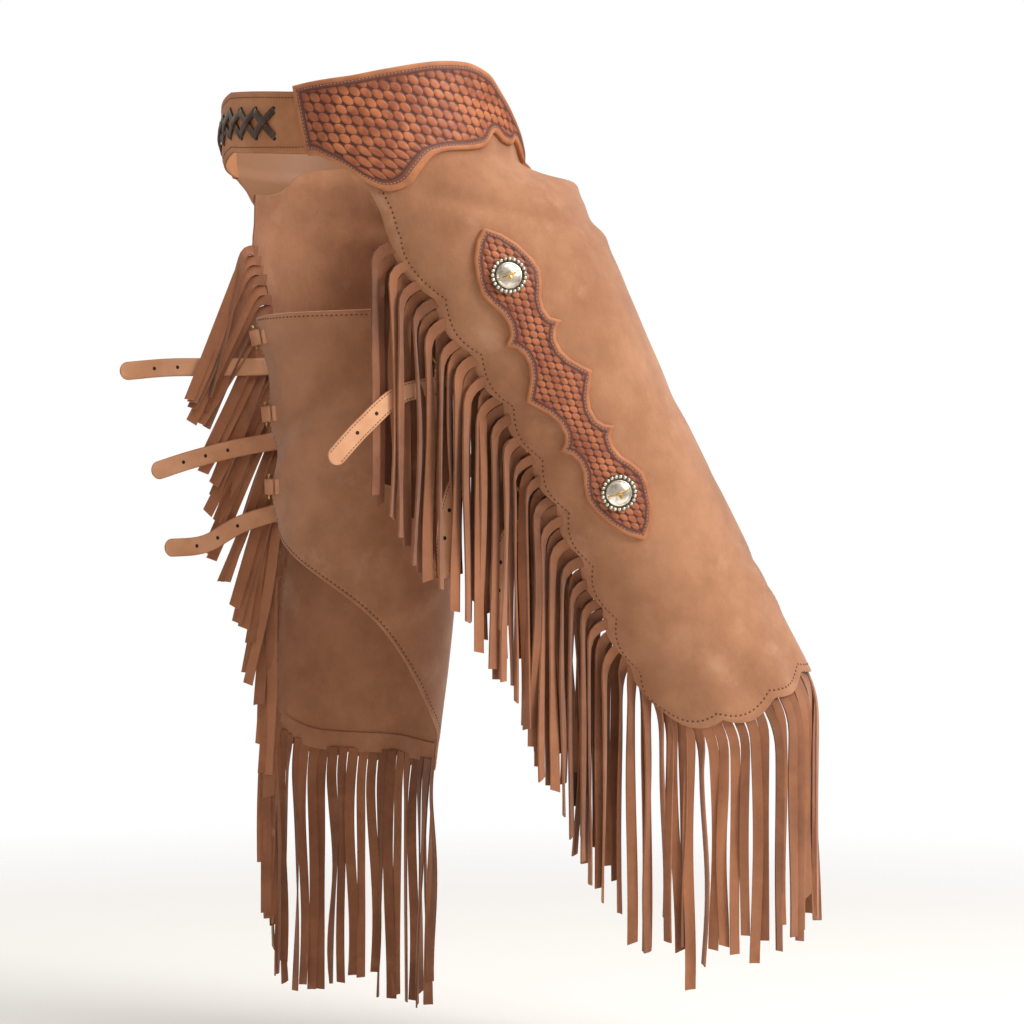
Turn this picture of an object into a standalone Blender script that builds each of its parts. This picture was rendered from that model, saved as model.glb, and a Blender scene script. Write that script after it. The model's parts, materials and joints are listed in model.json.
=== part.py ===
"""Western chinks: short leather chaps with scalloped, fringed legs, in the form they keep when worn.

Metres, +Z up. The wearer faces -Y and the wearer's right is -X. The origin is the middle of the
waist at belt height. The right leg is lifted forward in a stride and the left leg hangs straight.
The form of each leg is a run of oval sections from the waist to below the knee. A place on it is
"down" (metres along the leather from the waist) and "turn" (degrees round the leg: 0 is the outer
side, 90 the front, 180 the inner side, 270 the back). Every piece of leather is laid on that form.
"""
import bpy
import numpy as np
from math import hypot, pi
from mathutils import Matrix, Vector

# ---------------------------------------------------------------- driving sizes
PANEL_THICK = 0.0022
YOKE_THICK = 0.0028
BELT_THICK = 0.0022
BELT_LIFT = 0.0006
STRAP_THICK = 0.0022
LACE_THICK = 0.0014
CLEARANCE = 0.0003
FACET_CLEARANCE = 0.0012
TRIM_LIFT = PANEL_THICK + FACET_CLEARANCE
SCALLOP_PITCH = 0.057
SCALLOP_RISE = 0.0095
SCALLOP_TOP = 0.158
LOWER_LEG_RADIUS = 0.095
YOKE_END_SLANT = 4.4
YOKE_SLANT_TURN = -42.0
FLAP_EDGE_TURN = 275.0
SIDE_FRINGE_LENGTH = 0.285
HEM_FRINGE_LENGTH = 0.252
SIDE_FRINGE_THICK = 0.006
HEM_FRINGE_THICK = 0.008
HEM_FRINGE_GAP = 0.0009
FRINGE_SHOULDER = 0.020
BUNCH_THICK = 0.010
BILLET_WIDTH = 0.019
OVERLAY_LENGTH = 0.342

RIGHT, LEFT = -1, 1
SIDE_NAME = {RIGHT: "right", LEFT: "left"}

# One row per section: down, out from the middle, forward, up, half width, half depth,
# lean of the section in degrees, and how far the cover is turned round the leg in degrees.
SECTIONS = {
    RIGHT: (
        (0.000, 0.000, 0.000, 0.040, 0.170, 0.146, 0, 0),
        (0.075, 0.000, 0.003, -0.035, 0.172, 0.148, 0, 0),
        (0.090, 0.000, 0.006, -0.050, 0.173, 0.148, 0, 0),
        (0.150, 0.045, 0.054, -0.103, 0.143, 0.143, 14, 0),
        (0.250, 0.108, 0.112, -0.188, 0.100, 0.114, 25, 0),
        (0.360, 0.120, 0.166, -0.284, 0.096, 0.101, 27, 0),
        (0.500, 0.132, 0.231, -0.408, 0.094, 0.097, 27, 0),
        (0.780, 0.160, 0.359, -0.656, 0.092, 0.095, 27, 0),
        (1.000, 0.182, 0.459, -0.851, 0.092, 0.095, 27, 0),
    ),
    LEFT: (
        (0.000, 0.000, 0.000, 0.040, 0.170, 0.146, 0, 0),
        (0.075, 0.000, 0.003, -0.035, 0.172, 0.148, 0, 0),
        (0.090, 0.000, 0.006, -0.050, 0.173, 0.148, 0, 0),
        (0.150, 0.045, 0.016, -0.108, 0.146, 0.140, 0, 2),
        (0.250, 0.106, 0.034, -0.203, 0.101, 0.112, 0, 8),
        (0.360, 0.110, 0.040, -0.312, 0.096, 0.100, 0, 12),
        (0.500, 0.112, 0.039, -0.452, 0.094, 0.097, -3, 12),
        (0.780, 0.116, 0.010, -0.730, 0.092, 0.096, -6, 12),
        (1.000, 0.120, -0.016, -0.948, 0.092, 0.096, -6, 12),
    ),
}

# Largest soft folds at the hip: down, turn, half length round the leg in degrees,
# half width down the leg, height (below zero for a trough), slope of its line in metres per degree.
FOLDS = {
    RIGHT: (
        (0.108, 27, 18, 0.009, -0.0030, 0.0000),
        (0.145, 58, 22, 0.017, 0.0072, 0.0000),
        (0.145, -4, 22, 0.012, -0.0050, 0.0012),
        (0.200, 64, 24, 0.018, -0.0045, 0.0004),
    ),
    LEFT: (
        (0.150, 30, 26, 0.014, -0.0030, 0.0002),
        (0.185, 66, 22, 0.018, -0.0035, 0.0004),
    ),
}

# Yoke outline, a row per station round the hip: turn, top edge down, bottom edge down.
YOKE = (
    (-52.3, 0.0238, 0.0915),
    (-45.0, 0.0210, 0.0925),
    (-38.0, 0.0190, 0.1020),
    (-34.0, 0.0180, 0.1150),
    (-29.0, 0.0165, 0.1230),
    (-20.0, 0.0120, 0.1195),
    (-12.0, 0.0080, 0.1090),
    (-4.0, 0.0040, 0.0970),
    (4.0, 0.0010, 0.0900),
    (16.0, 0.0000, 0.0855),
    (24.0, 0.005, 0.079),
    (28.5, 0.010, 0.066),
    (34.0, 0.022, 0.073),
    (41.0, 0.036, 0.0745),
    (45.0, 0.044, 0.069),
    (52.0, 0.056, 0.080),
    (60.0, 0.069, 0.092),
    (68.0, 0.077, 0.100),
    (84.0, 0.081, 0.105),
)

# Back belt, from its end under the yoke to the middle of the back: turn, top down, bottom down.
BACK_BELT = (
    (-90.0, 0.0180, 0.0790),
    (-78.0, 0.0235, 0.0850),
    (-54.0, 0.0285, 0.0895),
    (-45.5, 0.0300, 0.0905),
)

# Leg panel outline. The outer edge: down, turn. The top and bottom edges: turn, down.
OUTER_EDGE = (
    (0.104, -34.0),
    (0.134, -37.5),
    (0.158, -43.0),
    (0.200, -46.0),
    (0.250, -52.0),
    (0.300, -53.0),
    (0.440, -55.5),
    (0.550, -60.5),
    (0.615, -63.0),
    (0.640, -60.0),
)
TOP_EDGE = (
    (-34.0, 0.104),
    (-20.0, 0.100),
    (-5.0, 0.076),
    (15.0, 0.068),
    (30.0, 0.056),
    (45.0, 0.064),
    (60.0, 0.085),
    (78.0, 0.098),
    (95.0, 0.140),
    (115.0, 0.188),
    (140.0, 0.222),
    (170.0, 0.237),
    (275.0, 0.243),
)
BOTTOM_EDGE = (
    (-60.0, 0.640),
    (-47.0, 0.686),
    (-31.0, 0.702),
    (-10.0, 0.710),
    (37.0, 0.708),
    (94.0, 0.710),
    (104.0, 0.690),
    (131.0, 0.654),
    (180.0, 0.564),
    (240.0, 0.500),
    (275.0, 0.470),
)
HEM_CORNER_TURN = 98.0

# Tooled strip on the outer thigh, upper half: along from its tip, half width.
OVERLAY_HALF = (
    (0.000, 0.0015),
    (0.010, 0.0125),
    (0.025, 0.0220),
    (0.045, 0.0285),
    (0.058, 0.0300),
    (0.071, 0.0255),
    (0.083, 0.0195),
    (0.094, 0.0180),
    (0.104, 0.0200),
    (0.112, 0.0285),
    (0.118, 0.0205),
    (0.126, 0.0165),
    (0.138, 0.0165),
    (0.150, 0.0205),
    (0.161, 0.0275),
    (0.171, 0.0345),
)
# Its middle line on the leg: along from the tip, down, turn.
OVERLAY_LINE = (
    (0.000, 0.170, -8.0),
    (0.051, 0.219, -12.5),
    (0.112, 0.278, -18.5),
    (0.171, 0.336, -20.5),
    (0.230, 0.394, -20.8),
    (0.291, 0.455, -19.0),
    (0.342, 0.508, -17.7),
)
CONCHO_ALONG = {"upper": 0.051, "lower": 0.291}

# Billets: down the outer edge, then the free route past it in metres (outward, back, up).
BILLETS = {
    RIGHT: (
        (0.293, ((0.000, 0.058, -0.012), (0.004, 0.098, -0.043), (0.006, 0.134, -0.080))),
        (0.375, ((0.000, 0.036, -0.016), (0.002, 0.056, -0.066), (0.004, 0.062, -0.124))),
        (0.455, ((0.002, 0.026, -0.010), (0.004, 0.040, -0.044), (0.006, 0.040, -0.106))),
    ),
    LEFT: (
        (0.293, ((-0.008, 0.050, -0.002), (-0.022, 0.110, -0.004), (-0.036, 0.168, -0.010))),
        (0.375, ((-0.008, 0.045, -0.008), (-0.020, 0.095, -0.020), (-0.034, 0.142, -0.034))),
        (0.455, ((-0.008, 0.040, -0.012), (-0.020, 0.082, -0.032), (-0.036, 0.130, -0.036))),
    ),
}
BUCKLE_RISE = 0.030
BUCKLE_LONG = 0.023
BUCKLE_WIDE = 0.028
BUCKLE_WIRE = 0.0036
BUCKLE_THICK = 0.0030
ROUND_BAR = hypot(BUCKLE_WIRE, BUCKLE_THICK) / 2 + 1.5 * CLEARANCE + STRAP_THICK / 2
TONGUE_RADIUS = 0.0011
TONGUE_BASE = ROUND_BAR + STRAP_THICK / 2 + CLEARANCE
CHAPE_WIDTH = 0.017
CHAPE_LONG = 0.034
CHAPE_LIFT = PANEL_THICK + 2 * CLEARANCE + STRAP_THICK / 2

# Lacing: the band it fills on the back belt and between the front ends of the yokes.
BACK_LACE_TURN = -61.0
BACK_LACE_HALF_HEIGHT = 0.017
FRONT_LACE_TURN = 79.0
FRONT_LACE_DOWN = (0.089, 0.099)

# The left side fringe bunches clear of the leg: down, reach out from the leather.
BUNCH_REACH = (
    (0.165, 0.008),
    (0.230, 0.034),
    (0.330, 0.072),
    (0.430, 0.074),
    (0.500, 0.050),
    (0.570, 0.024),
    (0.640, 0.014),
    (0.900, 0.012),
)

LEATHERS = {
    "suede": ((0.42, 0.215, 0.115, 1), 0.92, 0.0),
    "tooled": ((0.40, 0.130, 0.045, 1), 0.48, 0.0),
    "strap": ((0.40, 0.200, 0.105, 1), 0.80, 0.0),
    "lace": ((0.035, 0.020, 0.015, 1), 0.45, 0.0),
    "silver": ((0.72, 0.70, 0.66, 1), 0.28, 1.0),
    "brass": ((0.62, 0.44, 0.18, 1), 0.35, 1.0),
}


# ---------------------------------------------------------------- the form of a leg
def through(rows, at):
    """Smooth curve through the rows of a table, read at the values of its first column."""
    table = np.array(rows, float)
    x, y = table[:, 0], table[:, 1:]
    slope = np.empty_like(y)
    slope[1:-1] = (y[2:] - y[:-2]) / (x[2:] - x[:-2])[:, None]
    slope[0] = (y[1] - y[0]) / (x[1] - x[0])
    slope[-1] = (y[-1] - y[-2]) / (x[-1] - x[-2])
    at = np.asarray(at, float)
    row = np.clip(np.searchsorted(x, at, side="right") - 1, 0, len(x) - 2)
    step = (x[row + 1] - x[row])[..., None]
    t = ((at - x[row])[..., None]) / step
    return (
        (2 * t**3 - 3 * t**2 + 1) * y[row]
        + (t**3 - 2 * t**2 + t) * step * slope[row]
        + (3 * t**2 - 2 * t**3) * y[row + 1]
        + (t**3 - t**2) * step * slope[row + 1]
    )


def form_point(side, down, turn):
    """Point of the leg's form at (down, turn)."""
    out, forward, up, half_width, half_depth, lean, cover = np.moveaxis(through(SECTIONS[side], down), -1, 0)
    angle = np.radians(turn + cover)
    swell = np.zeros_like(angle)
    for fold_down, fold_turn, half_turn, half_down, height, slope in FOLDS[side]:
        round_leg = (turn - fold_turn) / half_turn
        across = (down - fold_down - slope * (turn - fold_turn)) / half_down
        swell = swell + height * np.exp(-(round_leg**2) - across**2)
    lean = np.radians(lean)
    x = out + (half_width + swell) * np.cos(angle)
    depth = (half_depth + swell) * np.sin(angle)
    return np.stack([side * x, -(forward + depth * np.cos(lean)), up + depth * np.sin(lean)], -1)


def on_form(side, down, turn, lift=0.0):
    """Points raised off the form by lift, and the outward directions there."""
    down, turn, lift = np.broadcast_arrays(np.asarray(down, float), turn, lift)
    point = form_point(side, down, turn)
    along = form_point(side, down + 5e-4, turn) - form_point(side, down - 5e-4, turn)
    around = form_point(side, down, turn + 0.2) - form_point(side, down, turn - 0.2)
    normal = np.cross(around, along) * side
    normal = normal / np.linalg.norm(normal, axis=-1, keepdims=True)
    return point + normal * lift[..., None], normal


def degrees_for(side, down, length):
    """Degrees of turn that cover a length round the leg at this height."""
    half_width, half_depth = np.moveaxis(through(SECTIONS[side], down), -1, 0)[3:5]
    return np.degrees(length / np.sqrt((half_width**2 + half_depth**2) / 2))


def scallop(distance):
    """Rise of the scalloped edge beyond its cusps at a distance along it."""
    return SCALLOP_RISE * np.abs(np.sin(pi * distance / SCALLOP_PITCH)) ** 0.8


# ---------------------------------------------------------------- Blender helpers
def clear_scene():
    for item in list(bpy.data.objects):
        bpy.data.objects.remove(item, do_unlink=True)


def leather(name):
    """The material of that name, made on first use."""
    if name in bpy.data.materials:
        return bpy.data.materials[name]
    colour, roughness, metallic = LEATHERS[name]
    material = bpy.data.materials.new(name)
    material.use_nodes = True
    shader = material.node_tree.nodes["Principled BSDF"]
    shader.inputs["Base Color"].default_value = colour
    shader.inputs["Roughness"].default_value = roughness
    shader.inputs["Metallic"].default_value = metallic
    material.diffuse_color = colour
    return material


def add_object(name, data, material):
    item = bpy.data.objects.new(name, data)
    data.materials.append(leather(material))
    collection.objects.link(item)
    return item


def sheet(name, points, outward, thickness, material, offset=1.0):
    """A sheet on a grid of points, given its thickness by Solidify on the outward side."""
    rows, columns = points.shape[:2]
    index = np.arange(rows * columns).reshape(rows, columns)
    faces = np.stack([index[:-1, :-1], index[:-1, 1:], index[1:, 1:], index[1:, :-1]], -1).reshape(-1, 4)
    middle = rows // 2, columns // 2
    across = points[middle[0], middle[1]] - points[middle[0], middle[1] - 1]
    along = points[middle[0], middle[1]] - points[middle[0] - 1, middle[1]]
    if np.dot(np.cross(across, along), outward[middle]) < 0:
        faces = faces[:, ::-1]
    mesh = bpy.data.meshes.new(name)
    mesh.from_pydata(points.reshape(-1, 3).tolist(), [], faces.tolist())
    item = add_object(name, mesh, material)
    solidify = item.modifiers.new("thickness", "SOLIDIFY")
    solidify.thickness = thickness
    solidify.offset = offset
    return item


# ---------------------------------------------------------------- leather pieces
def panel_chart(side, across, length):
    """Down and turn of the leg panel at shares across (outer edge to flap) and along its length."""
    top_turn = OUTER_EDGE[0][1] + across * (FLAP_EDGE_TURN - OUTER_EDGE[0][1])
    bottom_turn = OUTER_EDGE[-1][1] + across * (FLAP_EDGE_TURN - OUTER_EDGE[-1][1])
    top = through(TOP_EDGE, top_turn)[..., 0]
    bottom = through(BOTTOM_EDGE, bottom_turn)[..., 0]
    hem = (bottom_turn < HEM_CORNER_TURN) * (length == 1.0)
    bottom = bottom + hem * scallop(np.radians(bottom_turn - OUTER_EDGE[-1][1]) * LOWER_LEG_RADIUS)
    down = top + length * (bottom - top)
    edge_down = OUTER_EDGE[0][0] + length * (OUTER_EDGE[-1][0] - OUTER_EDGE[0][0])
    outer = through(OUTER_EDGE, edge_down)[..., 0]
    rise = np.where(edge_down > SCALLOP_TOP, scallop(edge_down - SCALLOP_TOP), 0.0) * (across == 0.0)
    outer = outer - degrees_for(side, edge_down, rise)
    return down, outer + across * (FLAP_EDGE_TURN - outer)


def outer_edge(side, down, beyond):
    """Turn of the line that lies a length beyond the cusps of the outer edge at this height."""
    turn = through(OUTER_EDGE, np.minimum(down, OUTER_EDGE[-1][0]))[..., 0]
    return turn - degrees_for(side, down, beyond)


def leg_panel(side):
    """Suede leg cover with a scalloped outer edge and hem, and a plain inner flap."""
    across = np.concatenate([np.linspace(0, 0.48, 18), np.linspace(0.56, 1, 5)])
    length = np.concatenate([np.linspace(0, 0.11, 9), np.linspace(0.145, 1, 21)])
    down, turn = panel_chart(side, across[None, :], length[:, None])
    points, outward = on_form(side, down, turn)
    return sheet(f"leg_panel_{SIDE_NAME[side]}", points, outward, PANEL_THICK, "suede")


def band(rows, turns, share):
    """Grid of down and turn between the top and bottom edges of a table like YOKE."""
    edges = through(rows, turns)
    down = edges[:, 0] + share[:, None] * (edges[:, 1] - edges[:, 0])
    return down, np.broadcast_to(turns, down.shape)


def yoke_slant(turn, share):
    """Degrees that the yoke's rear end leans forward towards its lower corner."""
    return YOKE_END_SLANT * share * np.clip((YOKE_SLANT_TURN - turn) / (YOKE_SLANT_TURN - YOKE[0][0]), 0, 1)


def yoke(side):
    """Tooled hip piece over the top of the leg panel and the end of the back belt."""
    turns = np.array([row[0] for row in YOKE])
    turns = np.sort(np.concatenate([turns, [-48.5, -31.5, -24.5, -16.0, 10.0, 20.0, 31.0, 48.5, 56.0, 64.0, 72.0, 78.0]]))
    share = np.linspace(0, 1, 7)
    down, turn = band(YOKE, turns, share)
    points, outward = on_form(side, down, turn + yoke_slant(turn, share[:, None]), TRIM_LIFT)
    return sheet(f"yoke_{SIDE_NAME[side]}", points, outward, YOKE_THICK, "tooled")


def across_back(down, turn, lift):
    """Points and outward directions of both mirrored halves, joined at the middle of the back."""
    right = on_form(RIGHT, down, turn, lift)
    left = on_form(LEFT, down, turn, lift)
    return [np.concatenate([near[:, :0:-1], far], axis=1) for near, far in zip(right, left)]


def back_belt():
    """One smooth belt round the back of the waist, its ends under both yokes."""
    down, turn = band(BACK_BELT, np.linspace(-90, -45.5, 12), np.linspace(0, 1, 3))
    points, outward = across_back(down, turn, BELT_LIFT)
    return sheet("back_belt", points, outward, BELT_THICK, "strap")


def overlay_place(side, along, across, lift=0.0):
    """Point of the tooled strip at a distance along it and across from its middle line."""
    line = through(OVERLAY_LINE, along)
    down, turn = line[..., 0], line[..., 1]
    return on_form(side, down, turn + degrees_for(side, down, across), lift)


def overlay(side):
    """Tooled strip with two leaf ends and spurs between, on the outer side of the thigh."""
    half = np.array(OVERLAY_HALF)
    along = np.concatenate([half[:, 0], OVERLAY_LENGTH - half[-2::-1, 0]])
    width = np.concatenate([half[:, 1], half[-2::-1, 1]])
    across = np.linspace(-1, 1, 5)[:, None] * width
    points, outward = overlay_place(side, along, across, TRIM_LIFT)
    return sheet(f"overlay_{SIDE_NAME[side]}", points, outward, YOKE_THICK, "tooled")


def concho(side, which):
    """Domed round ornament, turned about its own axis and set on the tooled strip."""
    profile = (
        (0.0000, 0.0000),
        (0.0190, 0.0000),
        (0.0190, 0.0014),
        (0.0178, 0.0026),
        (0.0155, 0.0030),
        (0.0132, 0.0022),
        (0.0110, 0.0038),
        (0.0060, 0.0056),
        (0.0000, 0.0062),
    )
    mesh = bpy.data.meshes.new("concho")
    vertices = [(radius, 0.0, height) for radius, height in profile]
    mesh.from_pydata(vertices, [(i, i + 1) for i in range(len(profile) - 1)], [])
    item = add_object(f"concho_{SIDE_NAME[side]}_{which}", mesh, "silver")
    screw = item.modifiers.new("turned", "SCREW")
    screw.axis = "Z"
    screw.steps = 28
    screw.render_steps = 28
    screw.use_merge_vertices = True
    screw.merge_threshold = 1e-5
    screw.use_normal_calculate = True
    lift = TRIM_LIFT + YOKE_THICK + CLEARANCE
    along = CONCHO_ALONG[which]
    seat, normal = overlay_place(side, along, 0.0, lift)
    ahead, _ = overlay_place(side, along + 0.01, 0.0, lift)
    upward = Vector(normal).normalized()
    across = Vector(ahead - seat).cross(upward).normalized()
    forward = upward.cross(across)
    frame = Matrix((across, forward, upward)).transposed().to_4x4()
    item.matrix_world = Matrix.Translation(seat) @ frame
    return item


# ---------------------------------------------------------------- fringe
def hem_fringe(side):
    """Curtain of the hem fringe: the plain wall that its strands fill as they hang."""
    turn = np.linspace(-49, HEM_CORNER_TURN - 6, 34)
    down = through(BOTTOM_EDGE, turn)[:, 0] + SCALLOP_RISE + HEM_FRINGE_GAP
    root, outward = on_form(side, down, turn, PANEL_THICK / 2)
    points = np.stack([root, root - (0, 0, HEM_FRINGE_LENGTH)])
    outward = np.stack([outward, outward])
    return sheet(f"hem_fringe_{SIDE_NAME[side]}", points, outward, HEM_FRINGE_THICK, "suede", 0.0)


def side_fringe_curtain(side):
    """Side fringe of the slanted leg: a curtain over a short shoulder, then straight down."""
    down = np.linspace(0.170, 0.622, 24)
    turn = outer_edge(side, down, SCALLOP_RISE + SIDE_FRINGE_THICK / 2 + CLEARANCE)
    root, outward = on_form(side, down, turn, PANEL_THICK / 2)
    shoulder = root + outward * FRINGE_SHOULDER
    tip = shoulder - (0, 0, SIDE_FRINGE_LENGTH - FRINGE_SHOULDER)
    points = np.stack([root, shoulder, tip])
    outward = np.zeros_like(points) + (side, 0, 0)
    return sheet(f"side_fringe_{SIDE_NAME[side]}", points, outward, SIDE_FRINGE_THICK, "suede", 0.0)


def side_fringe_bunch(side):
    """Side fringe of the hanging leg: its strands fall over each other in one standing wall."""
    down = np.linspace(BUNCH_REACH[0][0], BUNCH_REACH[-1][0], 24)
    turn = outer_edge(side, down, SCALLOP_RISE + BUNCH_THICK / 2 + 2 * CLEARANCE)
    share = np.array([0.0, 0.33, 0.67, 1.0])[:, None]
    lift = PANEL_THICK / 2 + share * through(BUNCH_REACH, down)[:, 0]
    points, outward = on_form(side, down, turn, lift)
    facing = np.cross(outward, np.gradient(points, axis=1))
    return sheet(f"side_fringe_{SIDE_NAME[side]}", points, facing, BUNCH_THICK, "suede", 0.0)


# ---------------------------------------------------------------- straps, buckles, laces
def strap(name, centre, facing, width, material, round_tip=True):
    """Flat strap along a line of centre points, its broad face turned the given way."""
    along = np.gradient(centre, axis=0)
    across = np.cross(along, facing)
    across = across / np.linalg.norm(across, axis=-1, keepdims=True)
    half = np.full(len(centre), width / 2)
    if round_tip:
        length = np.cumsum(np.linalg.norm(np.diff(centre, axis=0, prepend=centre[:1]), axis=-1))
        left = np.clip((length[-1] - length) / (width / 2), 0.08, 1.0)
        half = half * np.sqrt(1 - (1 - left) ** 2)
    points = centre + np.array([-1, 1])[:, None, None] * (across * half[:, None])
    outward = np.cross(across, along) * np.ones((2, 1, 1))
    return sheet(name, points, outward, STRAP_THICK, material, 0.0)


def billet(side, number, down, free):
    """Billet sewn behind the outer edge, hanging free and unbuckled past it."""
    sewn_lift = -(STRAP_THICK / 2 + FACET_CLEARANCE)
    reach = np.array([-0.014, 0.000, 0.016, 0.024, 0.034])
    lift = np.array([sewn_lift, sewn_lift, sewn_lift, 0.0000, 0.0060])
    sewn, outward = on_form(side, down, outer_edge(side, down, reach), lift)
    hung = sewn[-1] + np.array(free) * (side, 1, 1)
    route = np.concatenate([sewn, hung])
    level = np.array((side, 0, 0))
    face = np.concatenate([outward, [outward[-1], outward[-1] + level, level]])
    length = np.cumsum(np.linalg.norm(np.diff(route, axis=0, prepend=route[:1]), axis=-1))
    end = length[-1]
    steps = np.concatenate([np.linspace(0, end - 0.0095, 15), end - np.array([0.006, 0.003, 0.001, 0])])
    line = through(np.column_stack([length, route, face]), steps)
    return strap(f"billet_{SIDE_NAME[side]}_{number}", line[:, :3], line[:, 3:], BILLET_WIDTH, "strap")


def flap_frame(side, down):
    """Seat of a buckle's bar past the flap's rear edge, with rearward, sideways and outward axes."""
    lift = CHAPE_LIFT + ROUND_BAR
    turn = FLAP_EDGE_TURN + degrees_for(side, down, 0.003)
    seat, outward = on_form(side, down, turn, lift)
    ahead, _ = on_form(side, down, turn + 1, lift)
    outward = Vector(outward)
    rearward = Vector(ahead - seat).normalized()
    return Vector(seat), rearward, outward.cross(rearward).normalized(), outward


def buckle(side, number, down):
    """Brass frame with one slot, cut from one outline and extruded."""
    name = f"buckle_{SIDE_NAME[side]}_{number}"
    curve = bpy.data.curves.new(name, "CURVE")
    curve.dimensions = "2D"
    curve.fill_mode = "BOTH"
    curve.extrude = BUCKLE_THICK / 2
    middle = (BUCKLE_LONG - BUCKLE_WIRE) / 2
    inset = 2 * BUCKLE_WIRE
    for long, wide in ((BUCKLE_LONG, BUCKLE_WIDE), (BUCKLE_LONG - inset, BUCKLE_WIDE - inset)):
        x, y = long / 2, wide / 2
        cut = 0.2 * x
        corners = (
            (x, y - cut), (x - cut, y), (cut - x, y), (-x, y - cut),
            (-x, cut - y), (cut - x, -y), (x - cut, -y), (x, cut - y),
        )
        spline = curve.splines.new("POLY")
        spline.points.add(len(corners) - 1)
        for point, (corner_x, corner_y) in zip(spline.points, corners):
            point.co = (middle + corner_x, corner_y, 0, 1)
        spline.use_cyclic_u = True
    item = add_object(name, curve, "brass")
    seat, rearward, sideways, outward = flap_frame(side, down)
    frame = Matrix((rearward, sideways, outward)).transposed().to_4x4()
    item.matrix_world = Matrix.Translation(seat) @ frame
    return item


def tongue(side, number, down):
    """Plain tongue over the front of the buckle's frame."""
    name = f"tongue_{SIDE_NAME[side]}_{number}"
    curve = bpy.data.curves.new(name, "CURVE")
    curve.dimensions = "3D"
    curve.bevel_depth = TONGUE_RADIUS
    curve.bevel_resolution = 1
    curve.use_fill_caps = True
    seat, rearward, _, outward = flap_frame(side, down)
    height = BUCKLE_THICK / 2 + CLEARANCE + TONGUE_RADIUS
    spline = curve.splines.new("POLY")
    spline.points.add(1)
    for point, reach in zip(spline.points, (TONGUE_BASE, BUCKLE_LONG - BUCKLE_WIRE / 2)):
        point.co = (*(seat + rearward * reach + outward * height), 1)
    return add_object(name, curve, "brass")


def chape(side, number, down):
    """Short leather loop sewn on the flap and folded round the buckle's bar."""
    seat, rearward, sideways, outward = flap_frame(side, down)
    upper = CHAPE_LIFT + STRAP_THICK + CLEARANCE
    reach = np.linspace(-CHAPE_LONG, -0.004, 6)
    under, _ = on_form(side, down, FLAP_EDGE_TURN + degrees_for(side, down, reach), CHAPE_LIFT)
    angles = np.linspace(-pi / 2, pi / 2, 7)
    bend = [seat + (rearward * np.cos(angle) + outward * np.sin(angle)) * ROUND_BAR for angle in angles]
    back = np.linspace(-0.010, -CHAPE_LONG * 0.7, 4)
    over, _ = on_form(side, down, FLAP_EDGE_TURN + degrees_for(side, down, back), upper)
    centre = np.concatenate([under, [tuple(point) for point in bend], over])
    facing = np.cross(np.gradient(centre, axis=0), np.array(sideways))
    return strap(f"chape_{SIDE_NAME[side]}_{number}", centre, facing, CHAPE_WIDTH, "strap", round_tip=False)


def back_lace():
    """Plain band that the crossed lacing fills on the middle of the back belt."""
    turns = np.linspace(-90, BACK_LACE_TURN, 8)
    down = through(BACK_BELT, turns).mean(axis=1) + np.array([[-1], [1]]) * BACK_LACE_HALF_HEIGHT
    points, outward = across_back(down, turns, BELT_LIFT + BELT_THICK + CLEARANCE)
    return sheet("back_lace", points, outward, LACE_THICK, "lace")


def front_lace():
    """Plain band that the tie fills between the front ends of the two yokes."""
    lift = TRIM_LIFT + YOKE_THICK + 2 * CLEARANCE
    turns = np.array([FRONT_LACE_TURN, 82.0, 85.0])
    down = np.array(FRONT_LACE_DOWN)[:, None]
    right = on_form(RIGHT, down, turns, lift)
    left = on_form(LEFT, down, turns, lift)
    points = np.concatenate([right[0], left[0][:, ::-1]], axis=1)
    outward = np.concatenate([right[1], left[1][:, ::-1]], axis=1)
    return sheet("front_lace", points, outward, LACE_THICK, "lace")


# ---------------------------------------------------------------- build
def build():
    back_belt()
    back_lace()
    front_lace()
    for side in (RIGHT, LEFT):
        leg_panel(side)
        yoke(side)
        overlay(side)
        hem_fringe(side)
        for which in CONCHO_ALONG:
            concho(side, which)
        for number, (down, free) in enumerate(BILLETS[side], start=1):
            billet(side, number, down, free)
            chape(side, number, down - BUCKLE_RISE)
            buckle(side, number, down - BUCKLE_RISE)
            tongue(side, number, down - BUCKLE_RISE)
    side_fringe_curtain(RIGHT)
    side_fringe_bunch(LEFT)


clear_scene()
collection = bpy.data.collections.new("chaps")
bpy.context.scene.collection.children.link(collection)
build()
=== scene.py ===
"""Short fringed leather chaps in worn form: suede, tooled leather, fringe, lacing and hardware.

Metres, +Z up. The wearer faces -Y and the wearer's right is -X. A place on a leg is "down" (metres
along the leather from the waist) and "turn" (degrees round the leg: 0 is the outer side, 90 the
front, 180 the inner side, 270 the back).
"""
import json
from math import cos, hypot, pi, radians, sin

import bpy
import numpy as np
from mathutils import Matrix, Vector

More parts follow.
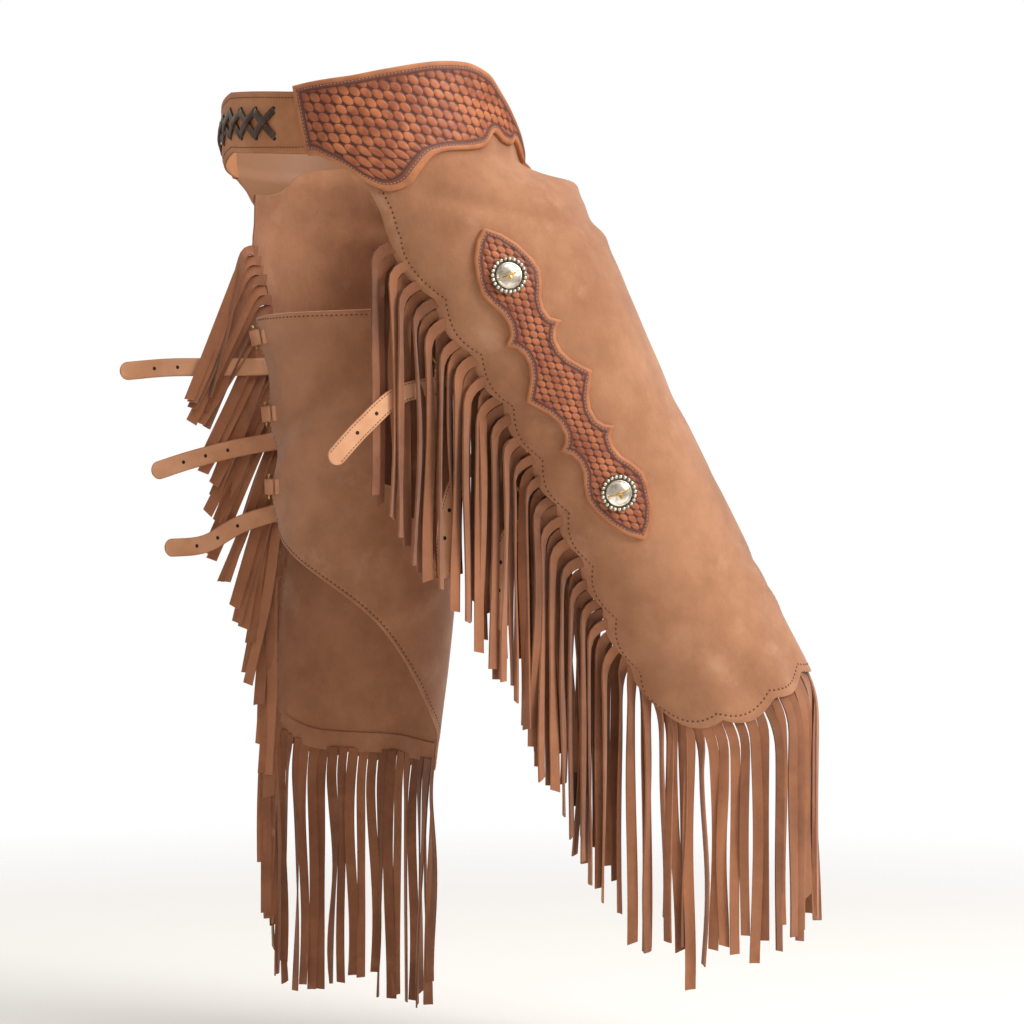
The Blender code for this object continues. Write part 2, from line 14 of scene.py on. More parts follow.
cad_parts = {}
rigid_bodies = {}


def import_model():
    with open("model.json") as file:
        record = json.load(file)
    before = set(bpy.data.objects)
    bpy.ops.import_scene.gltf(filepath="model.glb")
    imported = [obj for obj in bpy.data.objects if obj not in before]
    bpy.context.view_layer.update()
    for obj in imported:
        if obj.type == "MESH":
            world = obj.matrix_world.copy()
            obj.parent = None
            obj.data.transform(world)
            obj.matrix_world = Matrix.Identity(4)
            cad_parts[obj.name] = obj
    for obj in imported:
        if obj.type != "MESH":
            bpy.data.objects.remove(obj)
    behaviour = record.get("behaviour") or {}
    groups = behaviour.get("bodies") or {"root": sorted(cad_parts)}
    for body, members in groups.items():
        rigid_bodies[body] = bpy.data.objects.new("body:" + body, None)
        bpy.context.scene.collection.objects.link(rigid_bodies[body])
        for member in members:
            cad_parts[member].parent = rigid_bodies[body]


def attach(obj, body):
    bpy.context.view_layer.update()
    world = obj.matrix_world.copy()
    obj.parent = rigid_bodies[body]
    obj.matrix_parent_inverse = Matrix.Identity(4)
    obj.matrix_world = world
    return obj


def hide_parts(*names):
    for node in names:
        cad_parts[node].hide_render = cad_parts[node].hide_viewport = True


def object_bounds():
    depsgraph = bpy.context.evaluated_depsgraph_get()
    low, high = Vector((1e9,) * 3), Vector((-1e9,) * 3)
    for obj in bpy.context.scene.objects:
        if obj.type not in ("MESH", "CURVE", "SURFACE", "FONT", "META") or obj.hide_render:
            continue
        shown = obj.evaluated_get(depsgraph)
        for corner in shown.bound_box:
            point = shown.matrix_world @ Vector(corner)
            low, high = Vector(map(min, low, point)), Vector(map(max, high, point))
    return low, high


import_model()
cad_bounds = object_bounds()
BODY = "root"

# ---------------------------------------------------------------- driving sizes
PANEL_THICK = 0.0022
YOKE_THICK = 0.0028
BELT_THICK = 0.0022
BELT_LIFT = 0.0006
STRAP_THICK = 0.0022
LACE_THICK = 0.0014
CLEARANCE = 0.0003
FACET_CLEARANCE = 0.0012
TRIM_LIFT = PANEL_THICK + FACET_CLEARANCE
TRIM_TOP = TRIM_LIFT + YOKE_THICK
SCALLOP_PITCH = 0.057
SCALLOP_RISE = 0.0095
SCALLOP_TOP = 0.158
SCALLOP_FULL = 0.011
SCALLOP_FADE = 0.032
LOWER_LEG_RADIUS = 0.095
PANEL_ARC = 0.53
FLAP_EDGE_TURN = 275.0
HEM_CORNER_TURN = 98.0
HIP_RADIUS = 0.158
YOKE_END_SLANT = 4.4
YOKE_SLANT_TURN = -42.0

STRAND_WIDTH = 0.0105
STRAND_THICK = 0.0018
STRAND_PITCH = 0.0114
STRAND_RINGS = 24
HEM_STRAND_LENGTH = {-1: 0.250, 1: 0.266}
HEADING_DEPTH = 0.020

WEAVE_LONG = 0.0102
WEAVE_WIDE = 0.0084
WEAVE_SLANT = radians(7)
WEAVE_SKEW = -0.42
YOKE_STAMP = (0.90, 0.0)
STRIP_STAMP = (1.30, radians(32))
WEAVE_DEPTH = 0.0010
YOKE_RIM = 0.0070
OVERLAY_RIM = 0.0054
SEWN_SHARE = 0.84
FIELD_SHARE = (1.28, 1.45)
TOOLED_LINE_DEPTH = 0.0006

PANEL_LENGTH = 0.55
PANEL_EDGES = (0.0, 0.0012, 0.0036, 0.0060, 0.0076, 0.0092, 0.0126, 0.0170)
PANEL_STEP = 0.0046
SEAM_INSET = 0.0076
CHART_RADIUS = 0.1
EDGE_MARK = 0.006
STRAP_EDGE_MARK = 0.004
BELT_WIDTH = 0.058
BELT_SEAM_INSET = 0.006
BELT_END_TURN = -45.5
STITCH_PITCH = 0.0036
STITCH_LONG = 0.0026
STITCH_RISE = 0.00012
STITCH_RINGS = ((-0.5, 0.25), (-0.32, 0.85), (0.0, 1.0), (0.32, 0.85), (0.5, 0.25))
PROBE_DOWN = 0.0005
PROBE_TURN = 0.2
SHARP_ANGLE = radians(40)

BILLET_WIDTH = 0.019
BILLET_HOLES = (0.040, 0.068, 0.096)
CONCHO_RADIUS = 0.0180
CONCHO_BEADS = 23
HORN_SLOPE = 0.42
OVERLAY_LENGTH = 0.342
BUCKLE_RISE = 0.030
BUCKLE_LONG = 0.023
BUCKLE_WIDE = 0.028
BUCKLE_WIRE = 0.0036
BUCKLE_THICK = 0.0030
ROUND_BAR = hypot(BUCKLE_WIRE, BUCKLE_THICK) / 2 + 1.5 * CLEARANCE + STRAP_THICK / 2
TONGUE_RADIUS = 0.0011
CHAPE_WIDTH = 0.017
CHAPE_LONG = 0.034
CHAPE_LIFT = PANEL_THICK + 2 * CLEARANCE + STRAP_THICK / 2
LACE_WIDTH = 0.0074
LACE_HALF_HEIGHT = 0.0140
LACE_CROSSES = 6
LACE_STEP = 9.4

RIGHT, LEFT = -1, 1
SIDE_NAME = {RIGHT: "right", LEFT: "left"}

# One row per section: down, out from the middle, forward, up, half width, half depth,
# lean of the section in degrees, and how far the cover is turned round the leg in degrees.
SECTIONS = {
    RIGHT: (
        (0.000, 0.000, 0.000, 0.040, 0.170, 0.146, 0, 0),
        (0.075, 0.000, 0.003, -0.035, 0.172, 0.148, 0, 0),
        (0.090, 0.000, 0.006, -0.050, 0.173, 0.148, 0, 0),
        (0.150, 0.045, 0.054, -0.103, 0.143, 0.143, 14, 0),
        (0.250, 0.108, 0.112, -0.188, 0.100, 0.114, 25, 0),
        (0.360, 0.120, 0.166, -0.284, 0.096, 0.101, 27, 0),
        (0.500, 0.132, 0.231, -0.408, 0.094, 0.097, 27, 0),
        (0.780, 0.160, 0.359, -0.656, 0.092, 0.095, 27, 0),
        (1.000, 0.182, 0.459, -0.851, 0.092, 0.095, 27, 0),
    ),
    LEFT: (
        (0.000, 0.000, 0.000, 0.040, 0.170, 0.146, 0, 0),
        (0.075, 0.000, 0.003, -0.035, 0.172, 0.148, 0, 0),
        (0.090, 0.000, 0.006, -0.050, 0.173, 0.148, 0, 0),
        (0.150, 0.045, 0.016, -0.108, 0.146, 0.140, 0, 2),
        (0.250, 0.106, 0.034, -0.203, 0.101, 0.112, 0, 8),
        (0.360, 0.110, 0.040, -0.312, 0.096, 0.100, 0, 12),
        (0.500, 0.112, 0.039, -0.452, 0.094, 0.097, -3, 12),
        (0.780, 0.116, 0.010, -0.730, 0.092, 0.096, -6, 12),
        (1.000, 0.120, -0.016, -0.948, 0.092, 0.096, -6, 12),
    ),
}

# Largest soft folds at the hip: down, turn, half length round the leg in degrees,
# half width down the leg, height (below zero for a trough), slope of its line in metres per degree.
FOLDS = {
    RIGHT: (
        (0.108, 27, 18, 0.009, -0.0030, 0.0000),
        (0.145, 58, 22, 0.017, 0.0072, 0.0000),
        (0.145, -4, 22, 0.012, -0.0050, 0.0012),
        (0.200, 64, 24, 0.018, -0.0045, 0.0004),
    ),
    LEFT: (
        (0.150, 30, 26, 0.014, -0.0030, 0.0002),
        (0.185, 66, 22, 0.018, -0.0035, 0.0004),
    ),
}

# Smaller creases of the suede, laid over the folds, in the same columns.
CREASES = {
    RIGHT: (
        (0.123, 24, 24, 0.011, -0.0034, 0.0002),
        (0.158, 12, 24, 0.014, 0.0026, 0.0004),
        (0.194, 24, 22, 0.016, -0.0021, 0.0007),
        (0.230, 78, 16, 0.013, 0.0033, 0.0006),
        (0.262, 40, 22, 0.016, -0.0021, 0.0010),
        (0.585, 62, 20, 0.010, -0.0039, 0.0016),
        (0.612, 48, 20, 0.010, 0.0033, 0.0018),
        (0.640, 70, 16, 0.008, -0.0030, 0.0014),
        (0.520, 82, 14, 0.012, -0.0027, 0.0012),
        (0.470, 20, 30, 0.030, 0.0027, 0.0014),
        (0.400, 60, 22, 0.022, -0.0024, 0.0010),
        (0.660, 10, 14, 0.016, 0.0030, 0.0006),
        (0.420, 225, 26, 0.020, 0.0042, 0.0006),
        (0.350, 240, 20, 0.014, -0.0039, 0.0005),
    ),
    LEFT: (
        (0.130, 40, 26, 0.010, 0.0034, 0.0001),
        (0.240, 74, 18, 0.014, 0.0037, 0.0006),
        (0.330, 215, 34, 0.016, -0.0068, 0.0009),
        (0.372, 225, 34, 0.019, 0.0078, 0.0010),
        (0.440, 200, 26, 0.014, -0.0051, 0.0010),
        (0.300, 250, 22, 0.014, 0.0041, 0.0004),
        (0.540, 150, 24, 0.014, 0.0044, 0.0008),
        (0.590, 60, 20, 0.010, -0.0037, 0.0012),
        (0.620, 44, 20, 0.010, 0.0034, 0.0014),
        (0.450, 20, 28, 0.026, 0.0031, 0.0010),
    ),
}

# Yoke outline, a row per station round the hip: turn, top edge down, bottom edge down.
YOKE = (
    (-52.3, 0.0238, 0.0915),
    (-45.0, 0.0210, 0.0925),
    (-38.0, 0.0190, 0.1020),
    (-34.0, 0.0180, 0.1150),
    (-29.0, 0.0165, 0.1230),
    (-20.0, 0.0120, 0.1195),
    (-12.0, 0.0080, 0.1090),
    (-4.0, 0.0040, 0.0970),
    (4.0, 0.0010, 0.0900),
    (16.0, 0.0000, 0.0855),
    (24.0, 0.005, 0.079),
    (28.5, 0.010, 0.066),
    (34.0, 0.022, 0.073),
    (41.0, 0.036, 0.0745),
    (45.0, 0.044, 0.069),
    (52.0, 0.056, 0.080),
    (60.0, 0.069, 0.092),
    (68.0, 0.077, 0.100),
    (84.0, 0.081, 0.105),
)

# Back belt, from its end under the yoke to the middle of the back: turn, top down, bottom down.
BACK_BELT = (
    (-90.0, 0.0180, 0.0790),
    (-78.0, 0.0215, 0.0835),
    (-54.0, 0.0285, 0.0895),
    (-45.5, 0.0300, 0.0905),
)

# Leg panel outline. The outer edge: down, turn. The top and bottom edges: turn, down.
OUTER_EDGE = (
    (0.104, -34.0),
    (0.134, -37.5),
    (0.158, -43.0),
    (0.200, -46.0),
    (0.250, -52.0),
    (0.300, -53.0),
    (0.440, -55.5),
    (0.550, -60.5),
    (0.615, -63.0),
    (0.640, -60.0),
)
TOP_EDGE = (
    (-34.0, 0.104),
    (-20.0, 0.100),
    (-5.0, 0.076),
    (15.0, 0.068),
    (30.0, 0.056),
    (45.0, 0.064),
    (60.0, 0.085),
    (78.0, 0.098),
    (95.0, 0.140),
    (115.0, 0.188),
    (140.0, 0.222),
    (170.0, 0.237),
    (275.0, 0.243),
)
BOTTOM_EDGE = (
    (-60.0, 0.640),
    (-47.0, 0.686),
    (-31.0, 0.702),
    (-10.0, 0.710),
    (37.0, 0.708),
    (94.0, 0.710),
    (104.0, 0.690),
    (131.0, 0.654),
    (180.0, 0.564),
    (240.0, 0.500),
    (275.0, 0.470),
)

# Tooled strip on the outer thigh, upper half: along from its tip, half width.
OVERLAY_HALF = (
    (0.000, 0.0015),
    (0.010, 0.0125),
    (0.025, 0.0220),
    (0.045, 0.0285),
    (0.058, 0.0300),
    (0.071, 0.0255),
    (0.083, 0.0195),
    (0.094, 0.0180),
    (0.104, 0.0200),
    (0.112, 0.0285),
    (0.118, 0.0205),
    (0.126, 0.0165),
    (0.138, 0.0165),
    (0.150, 0.0205),
    (0.161, 0.0275),
    (0.171, 0.0345),
)
# Its middle line on the leg: along from the tip, down, turn.
OVERLAY_LINE = (
    (0.000, 0.170, -8.0),
    (0.051, 0.219, -12.5),
    (0.112, 0.278, -18.5),
    (0.171, 0.336, -20.5),
    (0.230, 0.394, -20.8),
    (0.291, 0.455, -19.0),
    (0.342, 0.508, -17.7),
)
CONCHO_ALONG = {"upper": 0.051, "lower": 0.291}

# Billets: down the outer edge, then the free route past it in metres (outward, back, up).
BILLETS = {
    RIGHT: (
        (0.293, ((0.000, 0.058, -0.012), (0.004, 0.098, -0.043), (0.006, 0.134, -0.080))),
        (0.375, ((0.000, 0.036, -0.016), (0.002, 0.056, -0.066), (0.004, 0.062, -0.124))),
        (0.455, ((0.002, 0.026, -0.010), (0.004, 0.040, -0.044), (0.006, 0.040, -0.106))),
    ),
    LEFT: (
        (0.293, ((-0.008, 0.050, -0.002), (-0.022, 0.110, -0.004), (-0.036, 0.168, -0.010))),
        (0.375, ((-0.008, 0.045, -0.008), (-0.020, 0.095, -0.020), (-0.034, 0.142, -0.034))),
        (0.455, ((-0.008, 0.040, -0.012), (-0.020, 0.082, -0.032), (-0.036, 0.130, -0.036))),
    ),
}

# How the side strands leave the outer edge: down the edge, then metres over which they bend to hang.
SIDE_BEND = {
    RIGHT: ((0.150, 0.036), (0.250, 0.034), (0.450, 0.036), (0.600, 0.044), (0.650, 0.030)),
    LEFT: ((0.150, 0.034), (0.450, 0.028), (0.650, 0.018)),
}
# Down the edge, then how far back the hanging strands are blown for each metre they fall.
SIDE_SWING = {
    RIGHT: ((0.150, 0.0), (0.650, 0.0)),
    LEFT: (
        (0.150, 0.28), (0.190, 0.46), (0.230, 0.60), (0.300, 0.54),
        (0.370, 0.40), (0.440, 0.20), (0.500, 0.06), (0.650, 0.0),
    ),
}
# Down the edge, then strand length.
SIDE_LENGTH = {
    RIGHT: ((0.150, 0.268), (0.400, 0.262), (0.650, 0.278)),
    LEFT: (
        (0.150, 0.185), (0.230, 0.170), (0.300, 0.180), (0.400, 0.200),
        (0.460, 0.220), (0.550, 0.250), (0.650, 0.268),
    ),
}


# ---------------------------------------------------------------- the form of a leg
def through(rows, at):
    """Smooth curve through the rows of a table, read at the values of its first column."""
    table = np.array(rows, float)
    x, y = table[:, 0], table[:, 1:]
    slope = np.empty_like(y)
    slope[1:-1] = (y[2:] - y[:-2]) / (x[2:] - x[:-2])[:, None]
    slope[0] = (y[1] - y[0]) / (x[1] - x[0])
    slope[-1] = (y[-1] - y[-2]) / (x[-1] - x[-2])
    at = np.asarray(at, float)
    row = np.clip(np.searchsorted(x, at, side="right") - 1, 0, len(x) - 2)
    step = (x[row + 1] - x[row])[..., None]
    t = ((at - x[row])[..., None]) / step
    return (
        (2 * t**3 - 3 * t**2 + 1) * y[row]
        + (t**3 - 2 * t**2 + t) * step * slope[row]
        + (3 * t**2 - 2 * t**3) * y[row + 1]
        + (t**3 - t**2) * step * slope[row + 1]
    )


def form_point(side, down, turn):
    """Point of the leg's form at (down, turn)."""
    out, forward, up, half_width, half_depth, lean, cover = np.moveaxis(through(SECTIONS[side], down), -1, 0)
    angle = np.radians(turn + cover)
    swell = np.zeros_like(angle)
    for fold_down, fold_turn, half_turn, half_down, height, slope in FOLDS[side] + CREASES[side]:
        round_leg = (turn - fold_turn) / half_turn
        across = (down - fold_down - slope * (turn - fold_turn)) / half_down
        swell = swell + height * np.exp(-(round_leg**2) - across**2)
    lean = np.radians(lean)
    x = out + (half_width + swell) * np.cos(angle)
    depth = (half_depth + swell) * np.sin(angle)
    return np.stack([side * x, -(forward + depth * np.cos(lean)), up + depth * np.sin(lean)], -1)


def unit(vectors):
    return vectors / np.linalg.norm(vectors, axis=-1, keepdims=True)


def distances(line):
    """Distance of each point of a line from its first, along the line."""
    return np.concatenate([[0], np.cumsum(np.linalg.norm(np.diff(line, axis=0), axis=-1))])


def bell(value, middle, half):
    """Rounded bump: 1 at the middle, nearly 0 past twice the half width."""
    return np.exp(-(((value - middle) / half) ** 2))


def on_form(side, down, turn, lift=0.0):
    """Points raised off the form by lift, and the outward directions there."""
    down, turn, lift = np.broadcast_arrays(np.asarray(down, float), turn, lift)
    point = form_point(side, down, turn)
    along = form_point(side, down + PROBE_DOWN, turn) - form_point(side, down - PROBE_DOWN, turn)
    around = form_point(side, down, turn + PROBE_TURN) - form_point(side, down, turn - PROBE_TURN)
    normal = unit(np.cross(around, along) * side)
    return point + normal * lift[..., None], normal


def degrees_for(side, down, length):
    """Degrees of turn that cover a length round the leg at this height."""
    half_width, half_depth = np.moveaxis(through(SECTIONS[side], down), -1, 0)[3:5]
    return np.degrees(length / np.sqrt((half_width**2 + half_depth**2) / 2))


def scallop(distance):
    """Rise of the scalloped edge beyond its cusps at a distance along it."""
    return SCALLOP_RISE * np.abs(np.sin(pi * distance / SCALLOP_PITCH)) ** 0.8


def smoothstep(value, low=0.0, high=1.0):
    t = np.clip((value - low) / (high - low), 0, 1)
    return t * t * (3 - 2 * t)


def scallop_share(inward):
    """How much of the scallop's rise a place has, at its distance in from the edge."""
    return np.clip((SCALLOP_FADE - inward) / (SCALLOP_FADE - SCALLOP_FULL), 0, 1)


# ---------------------------------------------------------------- materials
class Socket:
    """An output of a material's node, with arithmetic that adds Math nodes."""

    def __init__(self, finish, source):
        self.finish, self.source = finish, source

    def math(self, operation, *values):
        return self.finish.node("Math", {"operation": operation}, *values)

    def __add__(self, other):
        return self.math("ADD", self, other)

    def __sub__(self, other):
        return self.math("SUBTRACT", self, other)

    def __rsub__(self, other):
        return self.math("SUBTRACT", other, self)

    def __mul__(self, other):
        return self.math("MULTIPLY", self, other)

    def __truediv__(self, other):
        return self.math("DIVIDE", self, other)

    __radd__ = __add__
    __rmul__ = __mul__

    def floor(self):
        return self.math("FLOOR", self)

    def fraction(self):
        return self.math("FRACT", self)

    def step(self, low, high):
        """Smooth 0 to 1 as the value goes from low to high."""
        settings = {"interpolation_type": "SMOOTHSTEP"}
        return self.finish.node("MapRange", settings, self, low, high, 0.0, 1.0)


class Finish:
    """A material in the making: one shader and the nodes that feed it."""

    def __init__(self, name, view_colour, **constants):
        self.material = bpy.data.materials.new(name)
        self.material.use_nodes = True
        self.material.diffuse_color = (*view_colour, 1)
        self.tree = self.material.node_tree
        self.shader = self.tree.nodes["Principled BSDF"]
        for socket, value in constants.items():
            self.shader.inputs[socket.replace("_", " ")].default_value = value

    def node(self, kind, settings, *values, output=0, **named):
        """Add a node: its settings first, then the values or links of its sockets."""
        made = self.tree.nodes.new("ShaderNode" + kind)
        for key, value in settings.items():
            setattr(made, key, value)
        inputs = list(enumerate(values)) + [(key.replace("_", " "), value) for key, value in named.items()]
        for key, value in inputs:
            if isinstance(value, Socket):
                self.tree.links.new(value.source, made.inputs[key])
            elif value is not None:
                made.inputs[key].default_value = value
        return Socket(self, made.outputs[output])

    def place(self):
        return self.node("TexCoord", {}, output="Object")

    def chart(self):
        """Metres across and along the leather, from the piece's own UV map."""
        return self.node("UVMap", {"uv_map": "chart"})

    def mark(self, name):
        return self.node("Attribute", {"attribute_name": name}, output="Fac")

    def split(self, vector):
        return [self.node("SeparateXYZ", {}, vector, output=axis) for axis in range(2)]

    def noise(self, vector, scale, detail=3.0, roughness=0.55):
        return self.node("TexNoise", {}, Vector=vector, Scale=scale, Detail=detail, Roughness=roughness)

    def stretched(self, vector, x, y, z):
        return self.node("VectorMath", {"operation": "MULTIPLY"}, vector, (x, y, z))

    def mix(self, share, first, second):
        """Mix two colours, given as RGB or as sockets."""
        values = [colour if isinstance(colour, Socket) else (*colour, 1) for colour in (first, second)]
        return self.node("Mix", {"data_type": "RGBA"}, share, None, None, None, None, None, *values, output=2)

    def feed(self, **sockets):
        for name, value in sockets.items():
            self.tree.links.new(value.source, self.shader.inputs[name.replace("_", " ")])
        return self.material

    def bump(self, height, depth, strength=1.0):
        return self.node("Bump", {}, Strength=strength, Distance=depth, Height=height)


def suede_finish(name, light, dark, worn, by_strand=False):
    """Rough-out suede: brushed blotches, a soft short nap and a fine grain."""
    finish = Finish(
        name, light, Roughness=0.9, Sheen_Weight=0.25, Sheen_Roughness=0.5, Specular_IOR_Level=0.25
    )
    place = finish.place()
    brushed = finish.noise(finish.stretched(place, 9, 9, 6), 1.0, 4.0, 0.6)
    blotch = finish.noise(place, 34.0, 3.0)
    grain = finish.noise(place, 900.0, 2.0, 0.7)
    fleck = finish.noise(place, 150.0, 3.0, 0.65)
    tone = brushed.step(0.34, 0.68) * 0.52 + blotch.step(0.32, 0.70) * 0.26
    tone = tone + fleck * 0.26 + grain * 0.34 - 0.12
    if by_strand:
        # For strands the shade mark gives each strand a random tone, shifted by painted shade on the strands
        # hung behind and by painted light on the left side's strands.
        tone = tone * 0.7 + finish.mark("shade") * 0.55 - 0.12
    colour = finish.mix(tone, dark, light)
    scuff = finish.noise(place, 15.0, 5.0, 0.65).step(0.56, 0.76) * 0.45
    colour = finish.mix(scuff, colour, worn)
    nap = grain * 0.7 + fleck * 0.9
    return finish.feed(Base_Color=colour, Normal=finish.bump(nap, 0.0005, 0.75))


def tooled_finish(name):
    """Basket stamped and antiqued leather with a smooth rounded rim and a dark sewn border."""
    rim_colour, raised, sunk = (0.55, 0.215, 0.088), (0.60, 0.200, 0.080), (0.120, 0.038, 0.028)
    finish = Finish(name, raised, Specular_IOR_Level=0.4)
    u, v = finish.split(finish.chart())
    along = (u * cos(WEAVE_SLANT) + v * sin(WEAVE_SLANT)) / WEAVE_LONG
    across = (v * cos(WEAVE_SLANT) - u * sin(WEAVE_SLANT)) / WEAVE_WIDE
    row = across.fraction() - 0.5
    end = (along + across.floor() * 0.5 + row * WEAVE_SKEW).fraction() - 0.5
    lozenge = 1 - ((end * end + row * row) * 4).step(0.68, 1.12)
    edge = finish.mark("edge")
    field = edge.step(*FIELD_SHARE)
    stain = edge.step(0.64, 0.74) * (1 - edge.step(1.30, 1.55))
    groove = (edge.step(1.08, 1.18)) * (1 - edge.step(1.28, 1.42))
    place = finish.place()
    wear = finish.noise(place, 55.0, 4.0)
    pores = finish.noise(place, 700.0, 2.0, 0.6)
    antique = finish.noise(place, 26.0, 3.0).step(0.48, 0.72) * 0.55 + (1 - edge.step(1.3, 2.8)) * 0.60
    top = finish.mix(wear.step(0.3, 0.7), (0.33, 0.092, 0.040), raised)
    top = finish.mix(antique * 0.75, top, (0.235, 0.058, 0.030))
    colour = finish.mix(lozenge, sunk, top)
    rim = finish.mix(wear.step(0.25, 0.75), (0.40, 0.140, 0.060), rim_colour)
    colour = finish.mix(field, rim, colour)
    colour = finish.mix(stain * 0.82, colour, (0.150, 0.048, 0.034))
    colour = finish.mix(groove * 0.9, colour, sunk)
    colour = finish.mix(finish.mark("flesh").step(0.4, 0.9), colour, (0.34, 0.175, 0.095))
    grain = pores * 0.5 + wear * 0.6
    roughness = 0.52 - lozenge * field * 0.10 + wear * 0.12
    return finish.feed(Base_Color=colour, Roughness=roughness, Normal=finish.bump(grain, 0.0003, 0.6))


def strap_finish(name, light, dark):
    """Smooth tan strap leather, its edges burnished darker."""
    finish = Finish(name, light, Roughness=0.72, Specular_IOR_Level=0.3)
    place = finish.place()
    cloud = finish.noise(finish.stretched(place, 22, 22, 30), 1.0, 4.0)
    pores = finish.noise(place, 800.0, 2.0, 0.6)
    edge = finish.mark("edge")
    colour = finish.mix(cloud.step(0.3, 0.72) * 0.8 + pores * 0.2, dark, light)
    burnish = (1 - edge.step(0.0, 0.35)) * 0.45
    colour = finish.mix(burnish, colour, (0.16, 0.062, 0.03))
    return finish.feed(Base_Color=colour, Normal=finish.bump(pores + cloud * 0.6, 0.0003, 0.5))


def lace_finish(name):
    """Waxed dark brown lace, lighter in random patches."""
    finish = Finish(name, (0.05, 0.03, 0.02), Specular_IOR_Level=0.5)
    place = finish.place()
    wear = finish.noise(place, 140.0, 4.0, 0.6)
    colour = finish.mix(wear.step(0.40, 0.75), (0.040, 0.018, 0.009), (0.130, 0.064, 0.034))
    return finish.feed(Base_Color=colour, Roughness=0.34 + wear * 0.2, Normal=finish.bump(wear, 0.0003, 0.5))


def thread_finish(name, colour):
    """Twisted waxed thread."""
    finish = Finish(name, colour, Roughness=0.75)
    twist = finish.node("TexWave", {"bands_direction": "DIAGONAL"}, Vector=finish.place(), Scale=900.0)
    dark = tuple(0.55 * part for part in colour)
    return finish.feed(Base_Color=finish.mix(twist, dark, colour), Normal=finish.bump(twist, 0.0002, 0.4))


def metal_finish(name, bright, tarnish, rough):
    """Plated metal, tarnished in patches and fine scratched."""
    finish = Finish(name, bright, Metallic=1.0)
    place = finish.place()
    patches = finish.noise(place, 180.0, 4.0, 0.6)
    scratch = finish.noise(finish.stretched(place, 1500, 1500, 200), 1.0, 2.0)
    colour = finish.mix(patches.step(0.42, 0.68), bright, tarnish)
    roughness = rough + patches * 0.18 + scratch * 0.08
    return finish.feed(Base_Color=colour, Roughness=roughness, Normal=finish.bump(scratch, 0.0001, 0.3))


FINISHES = {
    "suede": suede_finish("brushed suede", (0.505, 0.246, 0.132), (0.310, 0.132, 0.062), (0.60, 0.345, 0.22)),
    # Fringe suede is the panel's leather (its uncut heading strip uses the panel suede) in darker colours,
    # which paint the shade among the hanging strands; each strand's random tone comes through its shade mark.
    "fringe": suede_finish(
        "fringe suede", (0.43, 0.178, 0.086), (0.150, 0.054, 0.025), (0.46, 0.22, 0.120), by_strand=True
    ),
    "tooled": tooled_finish("tooled leather"),
    "belt": strap_finish("belt leather", (0.57, 0.255, 0.120), (0.39, 0.158, 0.068)),
    "strap": strap_finish("strap leather", (0.80, 0.43, 0.25), (0.62, 0.300, 0.155)),
    "lace": lace_finish("dark lace"),
    "dark thread": thread_finish("dark thread", (0.175, 0.058, 0.026)),
    "pale thread": thread_finish("pale thread", (0.50, 0.30, 0.22)),
    # Dark discs at punched holes: painted shade standing for the dark inside each hole, made with the thread
    # finish.
    "hole": thread_finish("punched hole", (0.030, 0.014, 0.010)),
    "silver": metal_finish("antiqued silver", (0.86, 0.81, 0.71), (0.52, 0.45, 0.34), 0.20),
    "tarnish": metal_finish("tarnished silver", (0.20, 0.17, 0.13), (0.07, 0.055, 0.04), 0.42),
    "gold": metal_finish("gilt", (0.85, 0.55, 0.20), (0.36, 0.20, 0.06), 0.25),
    "brass": metal_finish("brass", (0.70, 0.50, 0.21), (0.34, 0.22, 0.09), 0.28),
}


# ---------------------------------------------------------------- making pieces
def deselect_all():
    bpy.ops.object.select_all(action="DESELECT")


def choose(item):
    """Select one object alone and make it the active one."""
    deselect_all()
    item.select_set(True)
    bpy.context.view_layer.objects.active = item


def linked(name, data):
    """New object in the scene for a mesh, curve, light or camera."""
    item = bpy.data.objects.new(name, data)
    bpy.context.scene.collection.objects.link(item)
    return item


def edit_all(item):
    """Open a shape in edit mode with every face selected."""
    choose(item)
    bpy.ops.object.mode_set(mode="EDIT")
    bpy.ops.mesh.select_mode(type="FACE")
    bpy.ops.mesh.select_all(action="SELECT")


def close_outward():
    """Turn every face of the shape in edit mode outwards, and leave edit mode."""
    bpy.ops.mesh.select_all(action="SELECT")
    bpy.ops.mesh.normals_make_consistent(inside=False)
    bpy.ops.object.mode_set(mode="OBJECT")


def settle_place():
    bpy.ops.object.transform_apply(location=True, rotation=True, scale=True)


def finish_piece(item, material, replaced=()):
    """Give a piece its material, shading, body and the nodes it stands for."""
    item.data.materials.clear()
    item.data.materials.append(FINISHES[material])
    choose(item)
    bpy.ops.object.shade_smooth_by_angle(angle=SHARP_ANGLE)
    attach(item, BODY)
    if replaced:
        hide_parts(*replaced)
    return item


def mesh_piece(name, vertices, faces, chart=None, **marks):
    """Object from arrays, with its chart as a UV map in metres and its marks as attributes."""
    mesh = bpy.data.meshes.new(name)
    mesh.from_pydata(vertices.reshape(-1, 3).tolist(), [], faces.tolist())
    if chart is not None:
        corner = np.empty(len(mesh.loops), int)
        mesh.loops.foreach_get("vertex_index", corner)
        layer = mesh.uv_layers.new(name="chart")
        layer.data.foreach_set("uv", chart.reshape(-1, 2)[corner].ravel())
    for key, values in marks.items():
        mark = mesh.attributes.new(key, "FLOAT", "POINT")
        mark.data.foreach_set("value", np.ascontiguousarray(values, float).ravel())
    return linked(name, mesh)


def rim_of(grid):
    """Values round the rim of a grid, each once."""
    return np.concatenate([grid[0], grid[1:, -1], grid[-1, -2::-1], grid[-2:0:-1, 0]])


